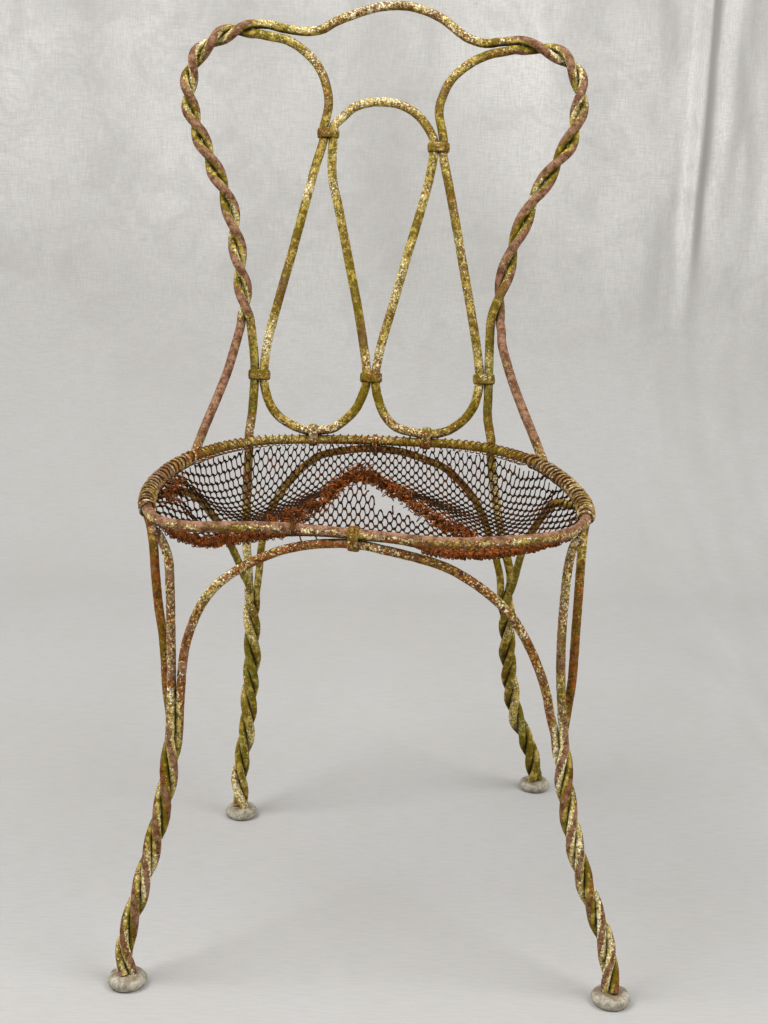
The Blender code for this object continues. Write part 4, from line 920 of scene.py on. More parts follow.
class Desk:
    """Puts nodes into one tree and joins them."""

    def __init__(self, tree: bpy.types.NodeTree) -> None:
        """Start on a tree."""
        self.tree = tree

    def feed(self, node: bpy.types.Node, sockets: dict) -> bpy.types.Node:
        """Set or join inputs of a node: a value, a colour of three screen numbers, or an output.

        Args:
            node: the node.
            sockets: what each input gets, by its name or number.

        Returns:
            The node.
        """
        for key, value in sockets.items():
            if isinstance(value, bpy.types.NodeSocket):
                self.tree.links.new(value, node.inputs[key])
            else:
                node.inputs[key].default_value = srgb(*value) if isinstance(value, tuple) else value
        return node

    def add(self, kind: str, sockets: dict | None = None, **settings: object) -> bpy.types.Node:
        """Add a node.

        Args:
            kind: name of the node's type.
            sockets: value or output for each input, by its name or number.
            settings: properties of the node.

        Returns:
            The node.
        """
        node = self.tree.nodes.new(kind)
        for key, value in settings.items():
            setattr(node, key, value)
        return self.feed(node, sockets or {})

    def group(self, tree: bpy.types.NodeTree, **sockets: object) -> bpy.types.Node:
        """Use a shared group at the desk's place."""
        return self.add("ShaderNodeGroup", {"Vector": self.place, **sockets}, node_tree=tree)

    def mix(self, factor: object, a: object, b: object) -> bpy.types.NodeSocket:
        """Colour between a and b."""
        return self.add("ShaderNodeMix", {0: factor, 6: a, 7: b}, data_type="RGBA").outputs[2]

    def maths(self, kind: str, a: object, b: object = 0.0, c: object = 0.0) -> bpy.types.NodeSocket:
        """Result of a sum on one, two or three numbers."""
        return self.add("ShaderNodeMath", {0: a, 1: b, 2: c}, operation=kind).outputs[0]

    def rise(self, value: object, low: object, high: object, to_low: float = 0.0,
             to_high: float = 1.0) -> bpy.types.NodeSocket:
        """Eased rise of a value between two limits."""
        return self.add("ShaderNodeMapRange", {0: value, 1: low, 2: high, 3: to_low, 4: to_high},
                        interpolation_type="SMOOTHSTEP").outputs[0]

    def clouds(self, scale: object, detail: float, rough: float = 0.5, warp: float = 0.0,
               place: object = None) -> bpy.types.NodeSocket:
        """Fractal noise at a place, else at the desk's place."""
        return self.add("ShaderNodeTexNoise", {"Vector": place or self.place, "Scale": scale, "Detail": detail,
                                               "Roughness": rough, "Distortion": warp}).outputs["Fac"]

    def bump(self, height: object, distance: float, strength: float) -> bpy.types.NodeSocket:
        """Normals of a fine relief."""
        return self.add("ShaderNodeBump", {"Height": height, "Distance": distance, "Strength": strength}).outputs[0]

    def value_of(self, name: str) -> bpy.types.NodeSocket:
        """Number kept on the piece under a name."""
        return self.add("ShaderNodeAttribute", attribute_name=name).outputs["Fac"]


def new_group(name: str, numbers: dict[str, float], colours: dict[str, Colour], outs: dict[str, str]) -> Desk:
    """Start a shader group with a Vector input.

    Args:
        name: name of the group.
        numbers: number inputs and their usual values.
        colours: colour inputs and their usual values.
        outs: outputs and their kinds.

    Returns:
        Desk on the group's tree, with its inputs as given, its Vector as place and its output node as end.
    """
    tree = bpy.data.node_groups.new(name, "ShaderNodeTree")
    tree.interface.new_socket(name="Vector", in_out="INPUT", socket_type="NodeSocketVector")
    for kind, usual in (("Float", numbers), ("Color", {key: srgb(*value) for key, value in colours.items()})):
        for key, value in usual.items():
            tree.interface.new_socket(name=key, in_out="INPUT", socket_type="NodeSocket" + kind).default_value = value
    for key, kind in outs.items():
        tree.interface.new_socket(name=key, in_out="OUTPUT", socket_type="NodeSocket" + kind)
    desk = Desk(tree)
    desk.given = tree.nodes.new("NodeGroupInput").outputs
    desk.place, desk.end = desk.given["Vector"], tree.nodes.new("NodeGroupOutput")
    return desk


def new_material(name: str) -> tuple[bpy.types.Material, Desk]:
    """Start a material; its desk has the Object coordinates as place and the shader as end.

    Args:
        name: name of the material.

    Returns:
        The material and its desk.
    """
    material = bpy.data.materials.new(name)
    material.use_nodes = True
    material.node_tree.nodes.clear()
    desk = Desk(material.node_tree)
    desk.place, desk.end = desk.add("ShaderNodeTexCoord").outputs["Object"], desk.add("ShaderNodeBsdfPrincipled")
    desk.add("ShaderNodeOutputMaterial", {0: desk.end.outputs[0]})
    return material, desk


class Effects:
    """Shader groups that several finishes share."""

    def __init__(self) -> None:
        """Build each group once."""
        self.flakes = self.flake_cover()
        self.rust = self.rust_tones()
        self.shade_and_grime = self.shade_and_grime_tones()

    def flake_cover(self) -> bpy.types.NodeTree:
        """Ragged islands that cover a share of the surface.

        Returns:
            The group.
        """
        d = new_group("flake_cover", {"Scale": 300.0, "Cover": 0.5, "Edge": 0.03, "Seed": 0.0}, {},
                      {"Mask": "Float", "Thickness": "Float"})
        scale, edge = d.given["Scale"], d.given["Edge"]
        d.place = d.add("ShaderNodeVectorMath", {0: d.place, 1: d.given["Seed"]}, operation="ADD").outputs[0]
        big, fine = d.clouds(scale, 5.0, 0.62, 0.35), d.clouds(d.maths("MULTIPLY", scale, 3.1), 3.0, 0.6)
        both = d.maths("ADD", d.maths("MULTIPLY", big, 0.7), d.maths("MULTIPLY", fine, 0.3))
        level = d.maths("MULTIPLY_ADD", d.given["Cover"], -0.42, 0.71)
        mask = d.rise(both, d.maths("SUBTRACT", level, edge), d.maths("ADD", level, edge))
        d.feed(d.end, {"Mask": mask, "Thickness": d.maths("MULTIPLY", mask, d.rise(fine, 0.3, 0.7, 0.6, 1.0))})
        return d.tree

    def rust_tones(self) -> bpy.types.NodeTree:
        """Clouded rust between two tones, with pits.

        Returns:
            The group.
        """
        d = new_group("rust_tones", {"Scale": 120.0}, {"Deep": (90, 50, 30), "Light": (160, 100, 60)},
                      {"Colour": "Color", "Height": "Float"})
        scale = d.given["Scale"]
        cloud, grain = d.clouds(scale, 6.0, 0.65), d.clouds(d.maths("MULTIPLY", scale, 7.0), 3.0, 0.7)
        both = d.maths("MULTIPLY_ADD", d.maths("SUBTRACT", grain, 0.5), 0.45, cloud)
        d.feed(d.end, {"Colour": d.mix(d.rise(both, 0.36, 0.64), d.given["Deep"], d.given["Light"]), "Height": both})
        return d.tree

    def shade_and_grime_tones(self) -> bpy.types.NodeTree:
        """Painted shade darkening towards creases, and dirt in scattered specks.

        Returns:
            The group.
        """
        d = new_group("shade_and_grime_tones", {"Crevice": 0.0, "Amount": 0.6, "Specks": 0.3, "Scale": 500.0},
                      {"Colour": (128, 128, 128), "Dirt": (58, 38, 22)}, {"Colour": "Color"})
        s = d.given
        wide, dots = d.clouds(d.maths("MULTIPLY", s["Scale"], 0.3), 4.0), d.clouds(s["Scale"], 4.0, 0.7)
        # Painted shade: darker towards creases where the Crevice value is high.
        deep = d.rise(d.maths("MULTIPLY_ADD", d.maths("SUBTRACT", wide, 0.5), 0.5, s["Crevice"]), 0.55, 1.0)
        share = d.maths("MAXIMUM", d.maths("MULTIPLY", deep, s["Amount"]),
                        d.maths("MULTIPLY", d.rise(dots, 0.56, 0.66), s["Specks"]))
        d.feed(d.end, {"Colour": d.mix(share, s["Colour"], s["Dirt"])})
        return d.tree


@dataclass(frozen=True)
class WornPaint:
    """Old ochre and green paint flaking off brown iron; how much is left is kept on each piece."""

    name: str
    mauve: Colour = (160, 120, 92)
    mauve_deep: Colour = (92, 56, 30)
    orange: Colour = (160, 90, 30)
    orange_deep: Colour = (78, 38, 6)
    ochre: Colour = (192, 166, 72)
    olive: Colour = (114, 98, 10)
    cream: Colour = (255, 246, 212)
    green: Colour = (118, 142, 66)
    dirt_and_shade: Colour = (36, 20, 2)
    grain: float = 400.0
    seed: float = 0.0

    def make(self, fx: Effects) -> bpy.types.Material:
        """Build the material from the shared groups.

        Args:
            fx: the shared groups.

        Returns:
            The material.
        """
        material, d = new_material(self.name)
        paint, green, warm, crevice, fresh = (d.value_of(k) for k in ("paint", "green", "warm", "crevice", "fresh"))
        cold = d.group(fx.rust, Scale=150.0, Deep=self.mauve_deep, Light=self.mauve)
        hot = d.group(fx.rust, Scale=210.0, Deep=self.orange_deep, Light=self.orange)
        heat = d.rise(d.maths("ADD", warm, d.maths("MULTIPLY_ADD", d.clouds(95.0, 3.0), 1.2, -0.6)), 0.35, 0.65)
        iron = d.mix(heat, cold.outputs["Colour"], hot.outputs["Colour"])
        cover = d.group(fx.flakes, Scale=self.grain, Cover=paint, Edge=0.022, Seed=self.seed).outputs
        bright = d.maths("MULTIPLY_ADD", fresh, 0.24, d.maths("ADD", d.clouds(140.0, 5.0, 0.6), -0.12))
        coat = d.mix(d.rise(bright, 0.40, 0.60), self.olive, self.ochre)
        pale = d.group(fx.flakes, Scale=self.grain * 1.2, Cover=d.rise(fresh, 0.0, 1.0, 0.16, 0.50), Edge=0.025,
                       Seed=self.seed + 5.0)
        coat = d.mix(pale.outputs["Mask"], coat, self.cream)
        moss = d.group(fx.flakes, Scale=self.grain * 0.55, Cover=green, Edge=0.04, Seed=self.seed + 11.0)
        coat = d.mix(d.maths("MULTIPLY", moss.outputs["Mask"], 0.85), coat, self.green)
        # Painted shade towards crevices, undersides and bindings, and dark dirt in specks.
        shaded_and_dirty = d.group(fx.shade_and_grime, Crevice=crevice, Amount=0.8, Specks=0.8, Scale=420.0,
                        Colour=d.mix(cover["Mask"], iron, coat), Dirt=self.dirt_and_shade)
        height = d.maths("ADD", d.maths("MULTIPLY", cover["Thickness"], 0.55),
                         d.maths("MULTIPLY", cold.outputs["Height"], 0.8))
        d.feed(d.end, {"Base Color": shaded_and_dirty.outputs["Colour"],
                       "Roughness": d.rise(cover["Mask"], 0.0, 1.0, 0.56, 0.82),
                       "Normal": d.bump(height, 0.0006, 1.0), "Specular IOR Level": 0.16})
        return material


@dataclass(frozen=True)
class BareWire:
    """Thin wire gone to rust, in painted shade where the net is open, orange where it is crumpled as rust and painted
    light.
    """

    name: str
    shade_dark: Colour = (16, 10, 4)
    mid: Colour = (58, 34, 12)
    bright: Colour = (186, 104, 44)

    def make(self, fx: Effects) -> bpy.types.Material:
        """Build the material from the shared groups.

        Args:
            fx: the shared groups.

        Returns:
            The material.
        """
        material, d = new_material(self.name)
        calm = d.group(fx.rust, Scale=160.0, Deep=self.shade_dark, Light=self.mid).outputs
        loud = d.group(fx.rust, Scale=240.0, Deep=self.mid, Light=self.bright).outputs
        # warm mixes painted shade on open net with orange rust and painted light on crumpled wire.
        d.feed(d.end, {"Base Color": d.mix(d.value_of("warm"), calm["Colour"], loud["Colour"]), "Roughness": 0.86,
                       "Normal": d.bump(loud["Height"], 0.0002, 0.8), "Specular IOR Level": 0.12})
        return material


@dataclass(frozen=True)
class CastZinc:
    """Dull grey cast metal with a rust stain round the top."""

    name: str
    pale: Colour = (190, 184, 166)
    dull: Colour = (136, 128, 110)
    stain: Colour = (128, 98, 62)
    dirt_and_shade: Colour = (84, 76, 60)

    def make(self, fx: Effects) -> bpy.types.Material:
        """Build the material from the shared groups.

        Args:
            fx: the shared groups.

        Returns:
            The material.
        """
        material, d = new_material(self.name)
        metal = d.group(fx.rust, Scale=130.0, Deep=self.dull, Light=self.pale).outputs
        stain = d.group(fx.flakes, Scale=170.0, Cover=d.value_of("warm"), Edge=0.06, Seed=3.0).outputs["Mask"]
        colour = d.mix(d.maths("MULTIPLY", stain, 0.7), metal["Colour"], self.stain)
        # Painted shade at the crevice value round the leg, and dirt in specks.
        shaded_and_dirty = d.group(fx.shade_and_grime, Crevice=d.value_of("crevice"), Amount=0.7, Specks=0.4, Scale=420.0, Colour=colour,
                        Dirt=self.dirt_and_shade)
        d.feed(d.end, {"Base Color": shaded_and_dirty.outputs["Colour"], "Normal": d.bump(metal["Height"], 0.0006, 0.9),
                       "Roughness": 0.62, "Metallic": 0.15})
        return material


class Wear:
    """How much paint, green and rust each place of the ironwork has, and where shade and sheen are painted on it."""

    above_rim = (0.44, 0.47)
    leg_top = (0.24, 0.30)
    rear_half = (0.05, 0.12)
    stile_out = (0.128, 0.142)
    stile_up = (0.54, 0.58)
    step = 0.0025
    lump_height = 0.00016
    flake_height = 0.00022

    def __init__(self, lines: dict[str, Rod]) -> None:
        """Keep the rods' middle lines, to know where two of them meet."""
        self.lines = {name: (even(line, self.step, closed), radius) for name, (line, radius, closed) in lines.items()}

    def crevice(self, node: str, places: np.ndarray, radius: float) -> np.ndarray:
        """1 where another rod touches, 0 where none is near.

        Args:
            node: node whose own rod is left out.
            places: the places.
            radius: radius of the stock.

        Returns:
            One number for each place.
        """
        others = [rod for name, rod in self.lines.items() if name != node]
        radii = np.concatenate([np.full(len(line), thick) for line, thick in others])
        tree = tree_of(np.vstack([line for line, _ in others]))
        found = [tree.find(p)[1:] for p in places.tolist()]
        gap = np.array([dist - radii[k] for k, dist in found])
        return np.clip(1.0 - gap / (2.1 * radius), 0.0, 1.0)

    def zones(self, node: str, p: np.ndarray, n: np.ndarray, crevice: np.ndarray) -> dict[str, np.ndarray]:
        """Shares of paint, green, orange rust and bright paint, and the crevice value of painted shade.

        Args:
            node: node that the piece stands for.
            p: places, counted from the middle of the seat.
            n: outward directions there.
            crevice: nearness of another rod.

        Returns:
            The shares by their name.
        """
        x, y, z = p[:, 0], p[:, 1], p[:, 2]
        # top and under: upward and downward faces; top gives the rim a painted sheen, under adds painted shade below
        # each rod.
        top, under = smooth_step(n[:, 2], 0.35, 0.95), smooth_step(-n[:, 2], 0.1, 0.9)
        slow, mid = fractal(p, 13.0, 2, 4.0), fractal(p, 48.0, 2, 9.0)
        hold = smooth_step(crevice, 0.16, 0.55)
        high, leg = smooth_step(z, *self.above_rim), 1 - smooth_step(z, *self.leg_top)
        rear = smooth_step(y, *self.rear_half)
        paint = 0.52 + 0.16 * slow + 0.10 * mid
        green = 0.12 + 0.10 * slow
        warm = 0.45 + 0.25 * mid + 0.30 * under
        fresh = 0.72 + 0.45 * fractal(p, 24.0, 2, 14.0) - 0.35 * under
        # Twisted runs: brown on the outside, paint in the grooves; more of it on the rear legs
        stile = high * smooth_step(np.abs(x), *self.stile_out) * smooth_step(z, *self.stile_up)
        twist = np.maximum(stile, leg * (1 - rear))
        paint = toward(paint, 0.20 + 0.14 * (1 - high) + 0.12 * slow + 0.62 * hold, twist)
        warm = toward(warm, 0.12 + 0.3 * hold + 0.15 * mid, twist)
        back_leg = rear * (1 - high) * smooth_step(-z, -0.40, -0.30)
        paint = toward(paint, 0.68 + 0.15 * slow + 0.1 * mid, back_leg)
        green = green + back_leg * (0.02 + 0.22 * slow)
        warm, fresh = warm + back_leg * 0.25, fresh + 0.06 * back_leg
        # The back: bare waves of the crest and braces, green at the feet of the scrolls, rusty U bends
        if node == "crest_rod":
            wave = high * (1 - stile) * smooth_step(-z, -0.82, -0.77)
            paint, warm = toward(paint, 0.18 + 0.16 * mid, wave), toward(warm, 0.16 + 0.2 * mid, wave)
        if node in ("scroll_left", "scroll_right"):
            green = green + high * smooth_step(-z, -0.56, -0.50) * 0.30
            fresh = fresh - 0.2
        bow = high * smooth_step(-z, -0.54, -0.47) * smooth_step(-np.abs(x), -0.15, -0.10)
        paint, warm = paint + 0.07 * high, warm + 0.4 * bow
        fresh = fresh - 0.26 * high * smooth_step(-z, -0.80, -0.74) - 0.25 * bow
        # The rim: bare mauve iron on top in front as a painted sheen, painted behind, painted shade under the bindings
        if node == "seat_rim":
            front = smooth_step(-y, -0.02, 0.06)
            # Painted highlight: the top of the front rim loses paint and rust, so pale mauve iron stands in for a
            # sheen of top light.
            paint = toward(0.62 + 0.14 * slow, 0.50 + 0.20 * mid - 0.42 * top - 0.12 * under, front)
            warm = toward(np.full(len(z), 0.7), 0.50 + 0.3 * mid - 0.45 * top + 0.2 * under, front)
            green, fresh = green + 0.16 * (1 - front), fresh - 0.38 * (1 - front)
            bound = smooth_step(y, -0.108, -0.098) * smooth_step(-y, -0.12, -0.10)
            bound = bound * smooth_step(np.abs(x), 0.168, 0.176)
            # Painted shade under the bindings.
            crevice = np.maximum(crevice, 0.58 * bound)
            paint, warm = paint * (1 - 0.6 * bound), warm + 0.2 * bound
        if node in ("rear_arch", "left_arch", "right_arch"):
            green, warm, fresh = green + 0.12 * smooth_step(y, -0.05, 0.1), warm + 0.3, fresh - 0.5
        if node == "front_arch":
            warm, paint = warm + 0.25, paint - 0.08
        if node in ("front_left_post", "left_arch"):
            paint = paint - 0.04 * smooth_step(-y, 0.0, 0.08)
        if node == "front_right_post":
            green = green + 0.25 * (1 - leg)
        if node.startswith(("collar", "left_u", "right_u", "front_clamp", "rear_arch_tie")):
            crevice, warm, fresh = 0.35 * crevice, warm + 0.2, fresh - 0.1
        # The crevice value carries painted shade where rods meet and under each rod.
        return {"paint": np.clip(paint, 0.02, 0.95), "green": np.clip(green, 0.0, 0.9),
                "warm": np.clip(warm, 0.0, 1.0), "fresh": np.clip(fresh, 0.0, 1.0),
                "crevice": np.clip(crevice + 0.42 * under, 0.0, 1.0)}

    def weather(self, piece: bpy.types.Object, node: str, radius: float, relief: float = 1.0) -> None:
        """Roughen a piece and keep its wear, its painted shade and its painted sheen on it.

        Args:
            piece: the piece.
            node: node that it stands for.
            radius: radius of its stock.
            relief: share of the usual roughness.
        """
        mesh = piece.data
        co = coords(mesh)
        p = co - SHIFT
        worn = self.zones(node, p, normals(mesh), self.crevice(node, p, radius))
        lumps = fractal(p, 150.0, 2, 2.0)
        scale = smooth_step(fractal(p, 380.0, 3, 7.0), 0.0, 0.35) * worn["paint"]
        move = relief * (self.lump_height * lumps + self.flake_height * scale)
        set_coords(mesh, co + normals(mesh) * move[:, None])
        for key, values in worn.items():
            put_values(mesh, key, values)


@dataclass
class Fittings:
    """Everything that the sub-assemblies share."""

    sizes: Sizes
    layout: Layout
    wear: Wear
    effects: Effects
    made: list[str] = field(default_factory=list)

    def seat(self, piece: bpy.types.Object, material: bpy.types.Material, node: str) -> None:
        """Dress a piece, let it ride on the chair and stand it for its node.

        Args:
            piece: the piece.
            material: its finish.
            node: node that it stands for.
        """
        piece.data.materials.clear()
        piece.data.materials.append(material)
        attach(piece, "root")
        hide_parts(node)
        self.made.append(piece.name)
        log.info("%s stands for %s, %d faces", piece.name, node, len(piece.data.polygons))


@dataclass
class Ironwork:
    """All rods: crest and scrolls of the back, rim, arches and posts."""

    kit: Fittings
    step: float = 0.0014
    corners: int = 16

    def build(self) -> None:
        """Sweep each rod along its line and dress it."""
        paints = {zone: WornPaint(zone.value[0], seed=zone.value[1]).make(self.kit.effects) for zone in Zone}
        for node, (line, radius, closed) in self.kit.layout.lines.items():
            piece = swept(node + "_bar", [even(line, self.step, closed)], radius, self.corners, closed)
            self.kit.wear.weather(piece, node, radius)
            self.kit.seat(piece, paints[Zone.of(node)], node)


@dataclass
class Bands:
    """Collars of the back, the ties on the rear rim and the clamp of the front arch."""

    kit: Fittings
    points: int = 64
    inner: float = 0.0002
    radius: float = 0.004
    collar: tuple[float, float] = (0.0104, 0.0019)
    strap: tuple[float, float] = (0.0094, 0.0021)
    clamp: tuple[float, float] = (0.0092, 0.0019)
    tie_wire: float = 0.0012
    tie_grow: float = 0.0014
    tie_apart: float = 0.00135

    def wrap(self, name: str, node: str, at: tuple, circles: tuple, profile: list,
             finish: bpy.types.Material) -> None:
        """Loft one band round two rods.

        Args:
            name: name of the piece.
            node: node that it stands for.
            at: place of the plane's middle, direction of the rods and direction from the first to the second.
            circles: sizes of the two rods, as round_two takes them.
            profile: steps of the band's section: along the rods and outward.
            finish: its material.
        """
        middle, axis, ex = at
        rings = []
        for shift, grow in profile:
            flat = round_two(*circles[:3], grow, self.points, *circles[3:])
            rings.append(middle + flat[:, :1] * ex + flat[:, 1:] * np.cross(axis, ex) + axis * shift)
        piece = lofted(name, rings)
        self.kit.wear.weather(piece, node, self.radius, 1.6)
        self.kit.seat(piece, finish, node)

    def bead(self, size: tuple[float, float], square: bool = False) -> list[tuple[float, float]]:
        """Section of a rounded or squared-off band of a height and a wall.

        Args:
            size: height and wall.
            square: True to square it off.

        Returns:
            Steps along the rods and outward.
        """
        height, wall = size
        power, spread = (0.12, 1.0) if square else (0.6, 0.98)
        out = [(-height / 2, self.inner)]
        for a in math.pi * (np.arange(9) / 8 - 0.5):
            rise = max(math.cos(a) ** power, 0.12)
            out.append((height / 2 * math.sin(a) * spread, self.inner + wall * rise))
        return out + [(height / 2, self.inner)]

    def build(self) -> None:
        """Make every band."""
        z, lay, rim = self.kit.sizes, self.kit.layout, self.kit.layout.rim
        tan = WornPaint("worn_paint_bands", seed=51.0, ochre=(168, 140, 74), grain=300.0).make(self.kit.effects)
        off = z.back_rod + z.gap / 2
        for name, key in (("collar_upper_left", "UL"), ("collar_upper_right", "UR"), ("collar_lower_left", "LL"),
                          ("collar_lower_centre", "LC"), ("collar_lower_right", "LR")):
            self.wrap(name + "_bead", name, (lay.back((z.collars[key],))[0], lay.up, np.array((1.0, 0, 0))),
                      (z.back_rod, off, z.back_rod, -off), self.bead(self.collar), tan)
        up = np.array((0.0, 0, 1.0))
        on_arch = (z.rim_rod, -z.to_apron, z.apron_rod)
        for name, x in zip(("left_u_tie", "right_u_tie"), z.u_tie_x):
            p, t, _ = rim.at(rim.at_x(x * MM, True))
            self.wrap(name + "_strap", name, (p[0], t[0], up), (z.rim_rod, z.to_back, z.back_rod),
                      self.bead(self.strap), tan)
        p, t, _ = rim.at(rim.near(*z.front_clamp))
        self.wrap("front_clamp_strap", "front_clamp", (p[0], t[0], up), on_arch, self.bead(self.clamp, True), tan)
        p, t, _ = rim.at(rim.near(*z.rear_tie))
        flat = round_two(*on_arch, self.tie_grow, 40)
        loops = [p[0] + flat[:, :1] * up + flat[:, 1:] * np.cross(t[0], up) + t[0] * self.tie_apart * k
                 for k in (-1, 1)]
        tie = swept("rear_arch_tie_loops", loops, self.tie_wire, 8, True)
        self.kit.wear.weather(tie, "rear_arch_tie", self.radius, 0.6)
        self.kit.seat(tie, tan, "rear_arch_tie")


@dataclass
class Feet:
    """Four cast feet like flattened balls, spun and then dented."""

    kit: Fittings
    dent: float = 0.0006
    pit: float = 0.00025
    flat_rise: float = 0.002
    profile: Table = (
        (0.0, 0.0), (11.6, 0.0), (13.6, 0.15), (15.4, 0.9), (16.9, 2.6), (17.6, 4.9), (17.4, 7.0), (16.2, 9.1),
        (13.9, 10.6), (10.8, 11.3), (8.4, 11.5), (0.0, 11.5),
    )

    def build(self) -> None:
        """Spin, dent and dress each foot."""
        finish = CastZinc("dull_cast_zinc").make(self.kit.effects)
        outline = np.array([(r, 0.0, h) for r, h in self.profile]) * MM
        curve, _ = spline(outline[1:-1], per=5)
        for name, key in (("front_left", "FL"), ("front_right", "FR"), ("rear_left", "RL"), ("rear_right", "RR")):
            bm = bmesh.new()
            rail, edges = railed(bm, np.vstack((outline[:1], curve, outline[-1:])))
            bmesh.ops.spin(bm, geom=rail + edges, cent=(0, 0, 0), axis=(0, 0, 1), angle=2 * math.pi, steps=72,
                           use_merge=True)
            bmesh.ops.remove_doubles(bm, verts=bm.verts, dist=1e-5)
            x, y = (LEG_LINES[key][0][c] * MM + SHIFT[c] for c in (0, 1))
            bmesh.ops.translate(bm, verts=bm.verts, vec=Vector((x, y, 0.0)))
            piece = piece_of(f"foot_{name}_casting", bm)
            mesh = piece.data
            co = coords(mesh)
            dents = self.dent * fractal(co, 70.0, 2, 1.0) + self.pit * fractal(co, 260.0, 3, 5.0)
            dented = co + normals(mesh) * (dents * np.clip(co[:, 2] / self.flat_rise, 0.0, 1.0))[:, None]
            dented[:, 2] = np.maximum(dented[:, 2], 0.0)
            set_coords(mesh, dented)
            out = np.hypot(co[:, 0] - x, co[:, 1] - y)
            put_values(mesh, "warm", np.clip(0.62 - out / 0.035 + 0.18 * (co[:, 2] > 0.0085), 0.0, 0.8))
            # Painted shade round the top middle, where the leg stands on the foot.
            put_values(mesh, "crevice", np.clip(1.15 - out / 0.010, 0.0, 1.0) * (co[:, 2] > 0.0100))
            self.kit.seat(piece, finish, f"foot_{name}")


@dataclass
class NetSeat:
    """Chain-link net of flattened wire coils that hangs in the rim, crumpled and torn in the middle."""

    kit: Fittings
    wire: float = 0.00078
    turn: float = 0.0086
    row: float = 0.0081
    swing: float = 0.0048
    lift: float = 0.0008
    per_turn: int = 12
    tip: int = 5
    pointed: float = 0.95
    flattened: float = 2.2
    inset: float = 0.0032
    free: float = 0.009
    loose: float = 0.0014
    cell: float = 0.006
    loop_wire: float = 0.00055
    curl_wire: float = 0.00045
    curl_reach: tuple[float, float, float] = (0.0034, 0.0026, 0.0026)
    curl_inset: float = 0.012
    loop_inset: float = 0.008
    loop_grid: tuple[float, float] = (0.0036, 0.0052)
    loop_size: tuple[float, float] = (0.0010, 0.0052)

    def __post_init__(self) -> None:
        """Fit the smooth sheet through the table of heights; on it, lay rows by their true length from y 0."""
        table = [(x, y, h) for x, column in NET_HEIGHTS.items() for y, h in column]
        self.pins = np.array(table + [(x, y, -4.0) for x, y in RIM_PLAN], float) / 100.0
        pull = self.pulls(self.pins[:, 0], self.pins[:, 1]) + np.eye(len(self.pins)) * 0.002
        flat = np.c_[np.ones(len(pull)), self.pins[:, :2]]
        square = np.block([[pull, flat], [flat.T, np.zeros((3, 3))]])
        self.weights = np.linalg.solve(square, np.r_[self.pins[:, 2], 0.0, 0.0, 0.0])
        self.a, self.b = np.arange(-0.27, 0.2701, self.cell), np.arange(-0.27, 0.3001, self.cell)
        x, self.y = (g.copy() for g in np.meshgrid(self.a, self.b, indexing="ij"))
        zero = int(np.argmin(abs(self.b)))
        for _ in range(6):
            slope = self.slopes(x.ravel(), self.y.ravel())[1]
            run = (self.cell / np.sqrt(1 + slope ** 2)).reshape(x.shape)
            self.y = np.cumsum(run, axis=1) - run / 2
            self.y -= self.y[:, zero:zero + 1].copy()

    def pulls(self, px: np.ndarray, py: np.ndarray) -> np.ndarray:
        """Pull of each pin of the sheet on places in tenths of a metre."""
        gap = np.hypot(px[:, None] - self.pins[:, 0], py[:, None] - self.pins[:, 1])
        return gap * gap * np.log(np.where(gap > 0, gap, 1.0))

    def height(self, x: np.ndarray, y: np.ndarray) -> np.ndarray:
        """Height of the sheet at places in plan.

        Args:
            x: places across.
            y: places from front to rear.

        Returns:
            The heights.
        """
        px, py, w = x * 10.0, y * 10.0, self.weights
        sheet = self.pulls(px, py) @ w[:-3] + w[-3] + w[-2] * px + w[-1] * py
        share = smooth_step(self.kit.layout.rim.distance(x, y), -0.002, 0.006)
        shallow = 1.0 - 0.09 * smooth_step(-y, 0.07, 0.12)
        return self.kit.sizes.seat_height + sheet * 0.1 * share * shallow - 0.004 * (1 - share)

    def slopes(self, x: np.ndarray, y: np.ndarray, e: float = 0.001) -> tuple[np.ndarray, np.ndarray]:
        """Slopes of the sheet along x and y."""
        return ((self.height(x + e, y) - self.height(x - e, y)) / (2 * e),
                (self.height(x, y + e) - self.height(x, y - e)) / (2 * e))

    def lay(self, x: np.ndarray, b: np.ndarray) -> np.ndarray:
        """Plan y of places at x that lie a length b along the sheet.

        Args:
            x: places across.
            b: lengths along the sheet from y 0.

        Returns:
            The plan y of each.
        """
        fa = np.clip((x - self.a[0]) / self.cell, 0, len(self.a) - 2.001)
        fb = np.clip((b - self.b[0]) / self.cell, 0, len(self.b) - 2.001)
        i, j = fa.astype(int), fb.astype(int)
        u, v, y = fa - i, fb - j, self.y
        return (y[i, j] * (1 - u) * (1 - v) + y[i + 1, j] * u * (1 - v) + y[i, j + 1] * (1 - u) * v
                + y[i + 1, j + 1] * u * v)

    def torn(self, x: np.ndarray, y: np.ndarray) -> np.ndarray:
        """True inside the outline of the tear.

        Args:
            x: places across.
            y: places from front to rear.

        Returns:
            True or False for each.
        """
        inside = np.zeros(len(x), bool)
        px, py = x * 1000.0, y * 1000.0
        for (x0, y0), (x1, y1) in zip(NET_TEAR, NET_TEAR[1:] + NET_TEAR[:1]):
            if y0 != y1:
                inside ^= ((y0 > py) != (y1 > py)) & (px < x0 + (py - y0) * (x1 - x0) / (y1 - y0))
        return inside

    def ridge_line(self, px: np.ndarray) -> np.ndarray:
        """Where the ridge runs, in millimetres."""
        return np.interp(px, (-110, -90, -60, -40, -18, 5, 35, 60, 100), (-44, -25, 6, 24, 42, 40, 30, 8, -8))

